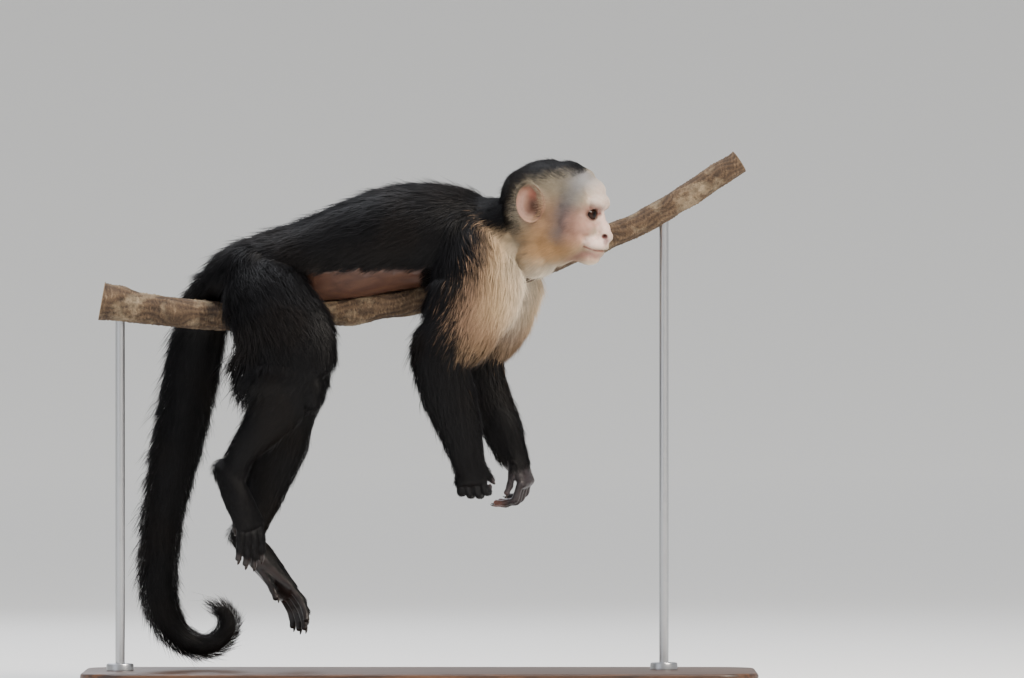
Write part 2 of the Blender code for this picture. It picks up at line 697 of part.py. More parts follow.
def foot(side, group):
    """The heel, sole, four toes and the grasping big toe, with the end of the shank."""
    spec = FEET[side]
    sole = spec["sole"]
    point = Vector(spec["point"]).normalized()
    top = Vector(spec["top"])
    top = (top - point * top.dot(point)).normalized()
    inward = top.cross(point) * -side
    bm = bmesh.new()
    loft(bm, SHANK[side][-4:])
    loft(bm, sole, sides=16, step=5, side_axis=inward)
    ball = Vector(sole[-1][:3])
    for spread, length in TOES:
        root = ball + inward * spread - point * 4
        splayed = (point + inward * (spread * TOE_SPLAY)).normalized()
        digit(bm, root, splayed, top, [s * length for s in TOE_BONES], spec["curl"], TOE_RADIUS)
    root, heading = spec["hallux"]
    along = Vector(heading).normalized()
    digit(bm, Vector(root), along, top, HALLUX_BONES, HALLUX_BENDS, HALLUX_RADIUS)
    name = "foot_right" if side == RIGHT else "foot_left"
    return fuse(object_from(bm, name, group), voxel=1.2, passes=2, triangles=560)


def part_flesh(whole, group, cutters):
    """Cuts the limbs off the fused flesh in named pieces, and leaves the trunk and tail in whole."""
    pieces = {}
    for side, tag in ((RIGHT, "right"), (LEFT, "left")):
        for root, names, joints in (
            ("shoulder", ("upper_arm", "forearm"), ("elbow", "wrist")),
            ("hip", ("thigh", "shank"), ("knee", "ankle")),
        ):
            planes = [CUTS[root][side], *LIMB_SIDES[root][side]]
            limb = cut_off(whole, planes, f"{names[0]}_{tag}", group, cutters)
            lower = sliced(limb, *CUTS[joints[0]][side], f"{names[1]}_{tag}", group)
            end = sliced(lower, *CUTS[joints[1]][side], "end", group)
            bpy.data.objects.remove(end)
            pieces[limb.name] = limb
            pieces[lower.name] = lower
    return pieces


def cut_off(whole, planes, name, group, cutters):
    """Takes what lies in the space beyond the planes off whole, as a new piece with a gap round it."""
    reach = region("reach", planes, cutters)
    piece = boolean(duplicate(whole, name, group), reach, "INTERSECT")
    keep_largest(piece)
    wider = region("reach_wide", planes, cutters, grow=GAP)
    boolean(whole, wider, "DIFFERENCE")
    keep_largest(whole)
    bpy.data.objects.remove(reach)
    bpy.data.objects.remove(wider)
    return piece


def part_tail(whole, group):
    """Cuts the tail off the rump and parts it in lengths."""
    pieces = {}
    rest = whole
    for name, (point, direction) in zip(("tail_base", "tail_middle", "tail_end"), TAIL_CUTS):
        rest = sliced(rest, point, direction, name, group)
        pieces[name] = rest
    return pieces


def main():
    """Builds every piece, parts the flesh, and clears a gap round the branch."""
    clear_scene()
    group = collection("capuchin")
    cutters = collection("cutters", hidden=True)
    finish(branch_tube("perch_branch", group), "bark")
    stand_base(group)
    stand(group, cutters)
    whole = flesh(group)
    whole.name = "trunk"
    limbs = part_flesh(whole, group, cutters)
    tail = part_tail(whole, group)
    skull = head(group)
    face = sliced(skull, *HEAD_CUT, "head", group)
    bpy.data.objects.remove(skull)
    face.name = "head"
    cut_sockets(face, cutters)
    collar = sliced(whole, *NECK_CUT, "neck", group)
    beyond = sliced(collar, *HEAD_CUT, "beyond", group)
    bpy.data.objects.remove(beyond)
    for side, tag in ((RIGHT, "right"), (LEFT, "left")):
        for make, joint, name in ((hand, "wrist", "hand"), (foot, "ankle", "foot")):
            made = make(side, group)
            end = sliced(made, *CUTS[joint][side], "kept", group)
            bpy.data.objects.remove(made)
            end.name = f"{name}_{tag}"
            finish(end, "dark_skin")
        eye(side, group)
        finish(ear(side, group), "ear_skin")
    bough = branch_tube("branch_clearance", cutters, extra=GAP)
    for obj in [whole, collar, face, *limbs.values(), *tail.values()]:
        boolean(obj, bough, "DIFFERENCE")
        keep_largest(obj)
        finish(obj, "pale_coat" if obj in (face, collar) else "black_coat")
    bpy.data.objects.remove(bough)


main()
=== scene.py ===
"""The looks of a life-size white-faced capuchin that lies along a cut branch on a display stand.

The animal faces +X, its right side faces -Y, and +Z is up. Lengths in the classes are in
millimetres unless a name says otherwise, and meshes are in metres.
"""

import logging
import math
from collections.abc import Iterable, Sequence
from dataclasses import dataclass, field
from enum import Enum
from typing import ClassVar

import bmesh
import bpy
import numpy as np
from mathutils import Matrix, Vector


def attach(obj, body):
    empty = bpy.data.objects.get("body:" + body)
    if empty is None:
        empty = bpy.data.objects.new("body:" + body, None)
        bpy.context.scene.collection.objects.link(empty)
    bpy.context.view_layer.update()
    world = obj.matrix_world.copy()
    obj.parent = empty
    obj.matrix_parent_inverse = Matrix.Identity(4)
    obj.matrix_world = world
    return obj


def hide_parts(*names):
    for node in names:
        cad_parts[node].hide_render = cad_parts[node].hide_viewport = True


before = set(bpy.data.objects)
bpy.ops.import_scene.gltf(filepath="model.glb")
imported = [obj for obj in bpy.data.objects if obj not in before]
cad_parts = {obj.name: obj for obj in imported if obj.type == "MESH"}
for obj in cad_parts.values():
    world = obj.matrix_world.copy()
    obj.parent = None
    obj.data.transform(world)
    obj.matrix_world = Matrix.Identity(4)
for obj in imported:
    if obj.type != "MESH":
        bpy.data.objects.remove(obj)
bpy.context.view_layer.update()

MM = 0.001
ROOT = "root"
log = logging.getLogger("capuchin")

Rows = np.ndarray  # numbers, a row for each point, tuft or vertex
Point = tuple[float, ...]
BMesh = bmesh.types.BMesh
Mesh = bpy.types.Mesh
Piece = bpy.types.Object


class Side(Enum):
    """The two sides of the body, as the sign of Y."""

    RIGHT = -1
    LEFT = 1

    @property
    def word(self) -> str:
        """The side's name, as the solids have it."""
        return self.name.lower()


# --- Numbers on arrays of points ---


def fade(value: Rows, low: float, high: float) -> Rows:
    """Fades from 0 at low to 1 at high with level ends; low may be above high."""
    share = np.clip((value - low) / (high - low), 0.0, 1.0)
    return share * share * (3.0 - 2.0 * share)


def ripple(points: Rows, size: float, seed: int, waves: int = 9) -> Rows:
    """Smooth noise of about -1 to 1, as a sum of waves in every direction.

    Args:
        points: Rows of x, y, z.
        size: The pattern's typical length, in the points' unit.
        seed: Picks the waves.
        waves: How many are added.

    Returns:
        One value for each point.
    """
    rng = np.random.default_rng(seed)
    total = np.zeros(len(points))
    for _ in range(waves):
        heading = rng.normal(size=3)
        heading *= rng.uniform(0.6, 1.5) * math.tau / (size * np.linalg.norm(heading))
        total += np.sin(points @ heading + rng.uniform(0, math.tau))
    return total * math.sqrt(2.0 / waves) * 0.6


def unit(vectors: Rows) -> Rows:
    """Rows scaled to length one."""
    return vectors / np.maximum(np.linalg.norm(vectors, axis=-1, keepdims=True), 1e-9)


def norms(rows: Rows) -> Rows:
    """Each row's length."""
    return np.linalg.norm(rows, axis=1)


def mix(start: Rows, end: Rows, share: Rows) -> Rows:
    """Rows turned from start towards end by each one's share; start and end may be a single row."""
    return start + (end - start) * share[:, None]


def linear(code: str) -> Rows:
    """An sRGB hex colour, such as "#cdb08c", as linear red, green and blue."""
    values = np.array([int(code[i : i + 2], 16) for i in (1, 3, 5)]) / 255
    return np.where(values <= 0.04045, values / 12.92, ((values + 0.055) / 1.055) ** 2.4)


def tinted(colours: Rows, code: str, share: Rows) -> Rows:
    """Linear colours turned towards an sRGB hex colour by each row's share."""
    return mix(colours, linear(code), share)


def beside(points: Rows, start: Rows, end: Rows) -> tuple[Rows, Rows]:
    """Each point's share of the way along a straight length, and its offset from it.

    Args:
        points: Any places.
        start: Where the length starts.
        end: Where it ends.

    Returns:
        A share and an offset for each point.
    """
    span = end - start
    share = np.clip((points - start) @ span / max(span @ span, 1e-9), 0.0, 1.0)
    return share, points - start - share[:, None] * span


def capsule_distance(points: Rows, path: Sequence[Point]) -> Rows:
    """Distance from each point to a line through the path's points.

    Args:
        points: Any places.
        path: The line's corners.

    Returns:
        One distance for each point.
    """
    best = np.full(len(points), np.inf)
    path = np.asarray(path, float)
    for start, end in zip(path, path[1:]):
        best = np.minimum(best, norms(beside(points, start, end)[1]))
    return best


# --- Meshes ---


def add_object(name: str, mesh: Mesh) -> Piece:
    """Puts a mesh in the scene as an object at the origin."""
    obj = bpy.data.objects.new(name, mesh)
    bpy.context.scene.collection.objects.link(obj)
    return obj


def object_of(bm: BMesh, name: str) -> Piece:
    """A new smooth object of a bmesh, which is freed."""
    mesh = bpy.data.meshes.new(name)
    bm.to_mesh(mesh)
    bm.free()
    mesh.shade_smooth()
    return add_object(name, mesh)


def turned_shape(profile: Sequence[Point], steps: int) -> BMesh:
    """A shape spun round Z from its radius and height, in millimetres, at each corner.

    Args:
        profile: The corners.
        steps: How many faces go round.

    Returns:
        The closed shape.
    """
    bm = bmesh.new()
    verts = [bm.verts.new((radius * MM, 0, height * MM)) for radius, height in profile]
    geom = [*verts, *(bm.edges.new(pair) for pair in zip(verts, verts[1:]))]
    spin = {"cent": (0, 0, 0), "axis": (0, 0, 1), "angle": math.tau, "steps": steps}
    bmesh.ops.spin(bm, geom=geom, use_merge=True, **spin)
    bmesh.ops.remove_doubles(bm, verts=bm.verts, dist=1e-6)
    bmesh.ops.recalc_face_normals(bm, faces=bm.faces)
    return bm


def settle(obj: Piece) -> Piece:
    """Turns an object's modifiers into its mesh."""
    graph = bpy.context.evaluated_depsgraph_get()
    mesh = bpy.data.meshes.new_from_object(obj.evaluated_get(graph))
    obj.modifiers.clear()
    obj.data = mesh
    return obj


def rows_of(items: bpy.types.bpy_prop_collection, key: str, width: int, kind: type = np.float32) -> Rows:
    """A row of numbers for each of a mesh's items.

    Args:
        items: The mesh's vertices, edges or the like.
        key: What is read from each.
        width: How many numbers that is.
        kind: Their type.

    Returns:
        The rows.
    """
    found = np.empty(len(items) * width, kind)
    items.foreach_get(key, found)
    return found.reshape(-1, width)


def points_of(mesh: Mesh) -> Rows:
    """The mesh's points in millimetres."""
    return rows_of(mesh.vertices, "co", 3).astype(float) / MM


def normals_of(mesh: Mesh) -> Rows:
    """The mesh's smooth normals, one for each point."""
    return rows_of(mesh.vertex_normals, "vector", 3).astype(float)


def put_points(mesh: Mesh, points: Rows) -> None:
    """Moves the mesh's points to these places, in millimetres."""
    mesh.vertices.foreach_set("co", (points * MM).astype(np.float32).ravel())
    mesh.update()


def eased(points: Rows, edges: Rows, steps: Sequence[float], share: Rows) -> Rows:
    """Moves each point towards the mean of its neighbours, once for each step.

    Args:
        points: The mesh's points.
        edges: Its edges, as pairs of point numbers.
        steps: How far each pass goes; a negative pass swells the shape back.
        share: Each point's own part of every pass.

    Returns:
        The moved points.
    """
    count = np.bincount(edges.ravel(), minlength=len(points)).clip(1)[:, None]
    for step in steps:
        total = np.zeros_like(points)
        for axis in range(points.shape[1]):
            total[:, axis] = np.bincount(edges[:, 0], points[edges[:, 1], axis], len(points))
            total[:, axis] += np.bincount(edges[:, 1], points[edges[:, 0], axis], len(points))
        points = points + (total / count - points) * (step * share[:, None])
    return points


def colour_attribute(mesh: Mesh, name: str, colours: Rows) -> None:
    """Stores a linear colour at each point of the mesh.

    Args:
        mesh: Takes the colours.
        name: The attribute's name.
        colours: A row for each point.
    """
    made = mesh.attributes.new(name, "FLOAT_COLOR", "POINT")
    rows = np.ones((len(colours), 4), np.float32)
    rows[:, :3] = colours
    made.data.foreach_set("color", rows.ravel())


def value_attribute(mesh: Mesh, name: str, values: Rows) -> None:
    """Stores a number at each point of the mesh."""
    made = mesh.attributes.new(name, "FLOAT", "POINT")
    made.data.foreach_set("value", values.astype(np.float32))


def hand_over(piece: Piece, replaced: Iterable[str] = ()) -> Piece:
    """Makes a finished piece part of the object.

    Args:
        piece: The piece, in place.
        replaced: The solids that it stands for.

    Returns:
        The same piece.
    """
    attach(piece, ROOT)
    for node in replaced:
        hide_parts(node)
    log.info("%s: %d faces", piece.name, len(piece.data.polygons))
    return piece


# --- Materials ---

Tree = bpy.types.NodeTree
Socket = bpy.types.NodeSocket
Source = Socket | bpy.types.Node
Values = dict[str, object]


def first(source: Source) -> Socket:
    """The socket itself, or a node's first output."""
    return source.outputs[0] if isinstance(source, bpy.types.Node) else source


def node(tree: Tree, kind: str, links: dict[str | int, Source], **settings: object) -> bpy.types.Node:
    """Adds a node with its settings and links.

    Args:
        tree: The material's node tree.
        kind: The node's type, without "ShaderNode".
        links: What feeds each linked input: an output, or a node for its first output.
        **settings: The node's own properties; inputs, where the name starts with "in_" followed by
            the input's name or number; or "stops", a ramp's places and sRGB hex colours.

    Returns:
        The node.
    """
    made = tree.nodes.new("ShaderNode" + kind)
    for name, value in settings.items():
        if name == "stops":
            elements = made.color_ramp.elements
            while len(elements) < len(value):
                elements.new(0.5)
            for element, (place, code) in zip(elements, value):
                element.position = place
                element.color = (*linear(code), 1.0)
        elif name.startswith("in_"):
            key = name[3:].replace("_", " ")
            made.inputs[int(key) if key.isdigit() else key].default_value = value
        else:
            setattr(made, name, value)
    for name, source in links.items():
        tree.links.new(first(source), made.inputs[name])
    return made


@dataclass(frozen=True)
class Finish:
    """What every finish has: a name, and a Principled shader with its fixed values."""

    name: str
    fixed: ClassVar[Values] = {}  # the shader's values that are the same all over

    def dress(self, piece: Piece) -> None:
        """Makes this the piece's only material."""
        piece.data.materials.clear()
        piece.data.materials.append(self.material())

    def material(self) -> bpy.types.Material:
        """Finds the material, or makes it."""
        if self.name in bpy.data.materials:
            return bpy.data.materials[self.name]
        made = bpy.data.materials.new(self.name)
        made.use_nodes = True
        shader = made.node_tree.nodes["Principled BSDF"]
        for name, value in self.fixed.items():
            shader.inputs[name].default_value = value
        for name, source in self.paint(made.node_tree).items():
            made.node_tree.links.new(first(source), shader.inputs[name])
        return made

    def paint(self, tree: Tree) -> dict[str, Source]:
        """Adds the nodes that change over the surface, and says what each feeds in the shader."""
        return {}


@dataclass(frozen=True)
class Fur(Finish):
    """Fine animal hair: half-glossy keratin that catches the light along its length."""

    fixed: ClassVar[Values] = {"Roughness": 0.46, "IOR": 1.55, "Specular IOR Level": 0.14}
    lock_mm: float = 14.0

    def paint(self, tree: Tree) -> dict[str, Source]:
        """The hair's own colour, with a little change from lock to lock."""
        colour = node(tree, "Attribute", {}, attribute_name="Coat")
        place = node(tree, "TexCoord", {}).outputs["Object"]
        locks = node(tree, "TexNoise", {"Vector": place}, in_Scale=1 / (self.lock_mm * MM))
        shade = node(tree, "MapRange", {"Value": locks}, in_3=0.8, in_4=1.2)
        return {"Base Color": node(tree, "VectorMath", {0: colour, 1: shade}, operation="MULTIPLY")}


@dataclass(frozen=True)
class BareSkin(Finish):
    """Moist living skin: it lets a little light in, and creases and pores soften its shine."""

    fixed: ClassVar[Values] = {
        "IOR": 1.42, "Subsurface Weight": 0.06, "Subsurface Scale": 0.8 * MM,
        "Subsurface Radius": (1.0, 0.35, 0.2),
    }
    flush_mm: float = 6.0
    crease_mm: float = 1.5
    pore_mm: float = 0.45

    def paint(self, tree: Tree) -> dict[str, Source]:
        """The marked skin with its flush, creases and pores."""
        colour = node(tree, "Attribute", {}, attribute_name="Coat")
        links = {"Vector": node(tree, "TexCoord", {}).outputs["Object"]}
        flush = node(tree, "TexNoise", links, in_Scale=1 / (self.flush_mm * MM), in_Detail=4.0)
        shade = node(tree, "MapRange", {"Value": flush}, in_3=0.8, in_4=1.2)
        scale = 1 / (self.crease_mm * MM)
        creases = node(tree, "TexVoronoi", links, feature="DISTANCE_TO_EDGE", in_Scale=scale)
        pores = node(tree, "TexNoise", links, in_Scale=1 / (self.pore_mm * MM), in_Detail=2.0)
        fold = node(tree, "Bump", {"Height": creases}, in_Strength=0.4, in_Distance=0.3 * MM)
        links = {"Height": pores, "Normal": fold}
        return {
            "Base Color": node(tree, "VectorMath", {0: colour, 1: shade}, operation="MULTIPLY"),
            "Normal": node(tree, "Bump", links, in_Strength=0.2, in_Distance=0.15 * MM),
            "Roughness": node(tree, "Attribute", {}, attribute_name="Dullness").outputs["Fac"],
        }


@dataclass(frozen=True)
class WetEye(Finish):
    """A wet eye: a sharp clear tear film over a brown iris with fine spokes, and a dark pupil."""

    fixed: ClassVar[Values] = {
        "Roughness": 0.35, "IOR": 1.38, "Specular IOR Level": 0.05, "Coat Weight": 0.4,
        "Coat Roughness": 0.02, "Coat IOR": 1.38,
    }

    def paint(self, tree: Tree) -> dict[str, Source]:
        """Rings by the angle from the eye's axis, with spokes in the iris."""
        angle = node(tree, "Attribute", {}, attribute_name="Angle").outputs["Fac"]
        spoke = node(tree, "Attribute", {}, attribute_name="Spoke").outputs["Fac"]
        turn = node(tree, "CombineXYZ", {0: spoke, 1: angle})
        grain = node(tree, "TexNoise", {"Vector": turn}, in_Scale=9.0, in_Detail=3.0)
        wobble = node(tree, "MapRange", {"Value": grain}, in_3=-0.03, in_4=0.03)
        place = node(tree, "Math", {0: angle, 1: wobble}, operation="ADD")
        stops = [
            (0.0, "#040303"), (0.2, "#050303"), (0.24, "#1d0e07"), (0.36, "#2b150a"), (0.48, "#1f0f07"),
            (0.58, "#0e0705"), (0.64, "#2a1a16"), (0.78, "#5a3d36"), (1.0, "#7d584f"),
        ]
        return {"Base Color": node(tree, "ValToRGB", {"Fac": place}, stops=stops)}


@dataclass(frozen=True)
class Horn(Finish):
    """Horn: dark worn keratin, hard and half glossy, a little clouded."""

    fixed: ClassVar[Values] = {"Roughness": 0.3, "IOR": 1.54}
    cloud_mm: float = 2.5

    def paint(self, tree: Tree) -> dict[str, Source]:
        """Dark clouds a few millimetres across."""
        place = node(tree, "TexCoord", {}).outputs["Object"]
        cloud = node(tree, "TexNoise", {"Vector": place}, in_Scale=1 / (self.cloud_mm * MM), in_Detail=3.0)
        stops = [(0.3, "#14100f"), (0.7, "#332a26")]
        return {"Base Color": node(tree, "ValToRGB", {"Fac": cloud}, stops=stops)}


@dataclass(frozen=True)
class Bark(Finish):
    """Dusty weathered bark: matt, paler on its crests and darker in its cracks and pits, partly its own
    colour and partly painted shade, with patches of pale crust.
    """

    fixed: ClassVar[Values] = {"Roughness": 0.9, "IOR": 1.45}
    grit_mm: float = 1.4
    blotch_mm: float = 26.0
    crust: str = "#a08f74"

    def paint(self, tree: Tree) -> dict[str, Source]:
        """Colour by the ridges' height, darker low down as partly painted shade, blotches a few centimetres
        long, and grit.
        """
        links = {"Vector": node(tree, "TexCoord", {}).outputs["Object"]}
        height = node(tree, "Attribute", {}, attribute_name="Ridge").outputs["Fac"]
        # partly painted shade: the ramp darkens the bark low in its cracks and pits
        stops = [(0.08, "#35291f"), (0.35, "#503f2f"), (0.62, "#685541"), (0.95, "#8f7e66")]
        ground = node(tree, "ValToRGB", {"Fac": height}, stops=stops)
        scale = 1 / (self.blotch_mm * MM)
        blotch = node(tree, "TexNoise", links, in_Scale=scale, in_Detail=5.0, in_Roughness=0.6)
        share = node(tree, "MapRange", {"Value": blotch}, in_1=0.5, in_2=0.66, in_4=0.6)
        crust = (*linear(self.crust), 1.0)
        both = node(tree, "Mix", {"Factor": share, 6: ground}, data_type="RGBA", in_7=crust)
        fine = node(tree, "TexNoise", links, in_Scale=1 / (self.grit_mm * MM), in_Detail=5.0)
        grit = node(tree, "MapRange", {"Value": fine}, in_1=0.3, in_2=0.7, in_3=0.72, in_4=1.2)
        links = {0: both.outputs[2], 1: grit}
        return {
            "Base Color": node(tree, "VectorMath", links, operation="MULTIPLY"),
            "Normal": node(tree, "Bump", {"Height": fine}, in_Strength=0.7, in_Distance=0.8 * MM),
        }


@dataclass(frozen=True)
class SawnWood(Finish):
    """Sawn end grain: pale, dry and matt, with growth rings round the pith."""

    fixed: ClassVar[Values] = {"Roughness": 0.82, "IOR": 1.45}
    radius_mm: float = 12.0
    ring_mm: float = 1.3

    def paint(self, tree: Tree) -> dict[str, Source]:
        """Rings by the distance from the pith, which the piece holds as an attribute."""
        reach = node(tree, "Attribute", {}, attribute_name="Ridge").outputs["Fac"]
        rings = self.radius_mm * math.tau / self.ring_mm
        turns = node(tree, "Math", {0: reach}, operation="MULTIPLY", in_1=rings)
        wave = node(tree, "Math", {0: turns}, operation="SINE")
        level = node(tree, "MapRange", {"Value": wave}, in_1=-1.0)
        stops = [(0.1, "#a5855a"), (0.9, "#cbae80")]
        return {"Base Color": node(tree, "ValToRGB", {"Fac": level}, stops=stops)}


@dataclass(frozen=True)
class OiledWalnut(Finish):
    """Oiled walnut: dark brown, with grain along the board, open pores and a satin shine."""

    fixed: ClassVar[Values] = {
        "Roughness": 0.42, "IOR": 1.5, "Coat Weight": 0.12, "Coat Roughness": 0.3,
    }
    grain_mm: float = 5.0
    pore_mm: float = 0.8

    def paint(self, tree: Tree) -> dict[str, Source]:
        """Grain stretched along X, darker in its pores."""
        place = node(tree, "TexCoord", {}).outputs["Object"]
        links = {"Vector": node(tree, "Mapping", {"Vector": place}, in_Scale=(0.06, 1.0, 1.0))}
        scale = 1 / (self.grain_mm * MM)
        grain = node(tree, "TexNoise", links, in_Scale=scale, in_Detail=6.0, in_Distortion=0.6)
        pores = node(tree, "TexNoise", links, in_Scale=1 / (self.pore_mm * MM), in_Detail=2.0)
        stops = [(0.3, "#2a190f"), (0.5, "#452b1a"), (0.72, "#654127")]
        colour = node(tree, "ValToRGB", {"Fac": grain}, stops=stops)
        shade = node(tree, "MapRange", {"Value": pores}, in_1=0.35, in_2=0.5, in_3=0.72)
        return {
            "Base Color": node(tree, "VectorMath", {0: colour, 1: shade}, operation="MULTIPLY"),
            "Normal": node(tree, "Bump", {"Height": pores}, in_Strength=0.25, in_Distance=0.15 * MM),
        }


@dataclass(frozen=True)
class BrushedSteel(Finish):
    """Brushed stainless steel: bright grey, with marks round the rod that spread its highlights."""

    fixed: ClassVar[Values] = {"Base Color": (*linear("#b9babc"), 1.0), "Metallic": 1.0}
    mark_mm: float = 0.5

    def paint(self, tree: Tree) -> dict[str, Source]:
        """Brushing marks in the roughness."""
        place = node(tree, "TexCoord", {}).outputs["Object"]
        around = node(tree, "Mapping", {"Vector": place}, in_Scale=(0.1, 0.1, 1.0))
        marks = node(tree, "TexNoise", {"Vector": around}, in_Scale=1 / (self.mark_mm * MM), in_Detail=3.0)
        return {"Roughness": node(tree, "MapRange", {"Value": marks}, in_3=0.22, in_4=0.42)}


@dataclass(frozen=True)
class PalePaper(Finish):
    """Pale studio paper: soft, matt and near white."""

    fixed: ClassVar[Values] = {"Base Color": (*linear("#f1f0ed"), 1.0), "Roughness": 0.9}


FUR = Fur("glossy_fur")
SKIN = BareSkin("animal_skin")
EYE = WetEye("wet_eye")
HORN = Horn("horn")
BARK = Bark("weathered_bark")
SAWN = SawnWood("sawn_wood")
WALNUT = OiledWalnut("oiled_walnut")
STEEL = BrushedSteel("brushed_steel")
PAPER = PalePaper("studio_paper")

# --- The body's plan ---


def smoothed(points: Sequence[Point], step: float) -> Rows:
    """The Catmull-Rom curve through points of any number of values.

    Args:
        points: Rows that start with x, y, z.
        step: The distance between the curve's own points.

    Returns:
        The curve's rows.
    """
    rows = np.asarray(points, float)
    padded = np.vstack([rows[:1], rows, rows[-1:]])
    made = []
    for i in range(len(rows) - 1):
        a, b, c, d = padded[i : i + 4]
        count = max(1, round(float(np.linalg.norm((c - b)[:3])) / step))
        t = (np.arange(count) / count)[:, None]
        curve = 2 * b + (c - a) * t + (2 * a - 5 * b + 4 * c - d) * t**2 + (3 * b - a - 3 * c + d) * t**3
        made.append(curve / 2)
    return np.vstack([*made, rows[-1:]])


@dataclass(frozen=True)
class Loft:
    """A tube of ovals with domed ends, through stations of x, y, z, half width and half depth."""

    stations: Sequence[Point]
    side_axis: Point = (0, 1, 0)
    sides: int = 28
    step: float = 3.0
    inset: Point = (0.0, 0.0)  # how far the tube shrinks at its first and last station

    def add_to(self, bm: BMesh) -> None:
        """Adds the tube to a bmesh as one closed shell."""
        path = smoothed(self.stations, self.step)
        centre = path[:, :3]
        less = np.linspace(*self.inset, len(path))
        wide, deep = path[:, 3] - less, path[:, 4] - less
        along = unit(np.gradient(centre, axis=0))
        side = np.asarray(self.side_axis, float)
        side = unit(side - along * (along @ side)[:, None])
        turns = np.radians([86, 60, 30])
        rings = []
        for index, sense, angles in ((0, -1, turns), (None, 0, ()), (-1, 1, turns[::-1])):
            if index is None:
                rings.append((centre, along, side, wide, deep))
                continue
            bulge = sense * 0.7 * min(wide[index], deep[index])
            shift = along[index] * (bulge * np.sin(angles))[:, None]
            rings.append((
                centre[index] + shift, np.tile(along[index], (3, 1)), np.tile(side[index], (3, 1)),
                wide[index] * np.cos(angles), deep[index] * np.cos(angles),
            ))
        centre, along, side, wide, deep = (np.concatenate(part) for part in zip(*rings))
        wrap(bm, centre, side * wide[:, None], np.cross(along, side) * deep[:, None], self.sides)


def wrap(bm: BMesh, centre: Rows, side: Rows, up: Rows, sides: int) -> None:
    """Rolls a grid into a closed tube of ovals.

    Args:
        bm: Takes the tube.
        centre: The middle of each oval, in millimetres.
        side: Each oval's half width, as a vector.
        up: Its half depth, as a vector.
        sides: How many faces go round.
    """
    last = len(centre) - 1
    made = bmesh.ops.create_grid(bm, x_segments=sides, y_segments=last, size=1.0)["verts"]
    flat = np.array([vert.co for vert in made])
    ring = np.rint((flat[:, 1] + 1) / 2 * last).astype(int)
    turn = (flat[:, 0] + 1) * math.pi
    placed = centre[ring] + side[ring] * np.cos(turn)[:, None] + up[ring] * np.sin(turn)[:, None]
    for vert, place in zip(made, placed * MM):
        vert.co = place
    bmesh.ops.remove_doubles(bm, verts=made, dist=1e-7)
    made = [vert for vert in made if vert.is_valid]
    edges = {edge for vert in made for edge in vert.link_edges if edge.is_boundary}
    bmesh.ops.holes_fill(bm, edges=list(edges))
    around = {face for vert in made for face in vert.link_faces}
    bmesh.ops.recalc_face_normals(bm, faces=list(around))


@dataclass(frozen=True)
class Mass:
    """A rounded mass: centre, half sizes, and its turn in degrees about the side-to-side axis."""

    centre: Point
    halves: Point
    turn: float = 0.0

    def add_to(self, bm: BMesh, place: Matrix, grow: float = 0.0) -> None:
        """Adds the mass in a frame of reference, grown by some millimetres."""
        place = place @ Matrix.Translation(Vector(self.centre) * MM)
        place = place @ Matrix.Rotation(math.radians(self.turn), 4, "Y")
        place = place @ Matrix.Diagonal((*((half + grow) * MM for half in self.halves), 1.0))
        bmesh.ops.create_uvsphere(bm, u_segments=28, v_segments=16, radius=1.0, matrix=place)


TRUNK = (
    (-192, 2, 382, 22, 17), (-184, 2, 389, 31, 26), (-166, 1, 397, 38, 31), (-138, 0, 404, 41, 34.5),
    (-109, 0, 411, 42, 37), (-81, 0, 418, 43, 41), (-52, 0, 425, 45, 46.5), (-24, 0, 430, 47, 50.5),
    (5, 0, 432, 47, 51.5), (33, -1, 431, 44, 49), (57, -4, 428, 39, 44), (78, -9, 428, 32, 37),
)
NECK = ((50, -3, 430, 36, 42), (76, -10, 435, 32, 36), (96, -18, 441, 30, 34), (120, -28, 448, 28, 32))
ARM = {
    Side.RIGHT: (
        (42, -30, 432, 20, 30), (50, -37, 410, 24, 42), (54, -43, 385, 24, 46), (46, -49, 362, 22, 44),
        (36, -54, 341, 20.5, 38), (22, -57, 325, 20, 30), (22, -56, 305, 19, 28.5),
        (29.5, -54, 275, 17.5, 26), (37, -52, 252, 15.5, 22.5), (43, -50, 230, 13, 18.5),
        (46.5, -49, 213, 12, 16),
    ),
    Side.LEFT: (
        (60, 28, 432, 18, 30), (72, 36, 408, 22, 40), (78, 43, 385, 23, 40), (74, 48, 362, 21, 38),
        (65, 52, 341, 19.5, 35), (57, 54, 323, 19, 29), (57, 52, 300, 18.5, 26),
        (66, 49, 273, 17, 23.5), (77, 46, 250, 15, 20.5), (85, 44, 229, 12.5, 17), (92, 43, 213, 11.5, 14.5),
    ),
}
THIGH = {
    Side.RIGHT: (
        (-166, -24, 402, 18, 24), (-151, -36, 380, 25, 43), (-134, -47, 354, 28, 46),
        (-117, -55, 330, 27, 44), (-101, -60, 307, 23, 31),
    ),
    Side.LEFT: (
        (-160, 24, 396, 18, 24), (-146, 34, 370, 24, 36), (-130, 42, 342, 26, 40), (-118, 47, 314, 25, 37),
        (-108, 50, 288, 22, 27),
    ),
}
SHANK = {
    Side.RIGHT: (
        (-116, -60, 298, 21, 24), (-132, -57, 272, 20, 30), (-143, -54, 255, 18, 24),
        (-159, -51, 236, 15, 18), (-171, -49, 219, 12.5, 14.5), (-176, -48, 204, 11.5, 14),
    ),
    Side.LEFT: (
        (-113, 50, 276, 20, 23), (-121, 49, 256, 20, 24), (-130, 47, 232, 18.5, 26),
        (-141, 46, 208, 17, 24.5), (-150, 45, 184, 14.5, 21.5), (-156, 44, 164, 12, 16.5),
        (-161, 44, 151, 11.5, 15),
    ),
}
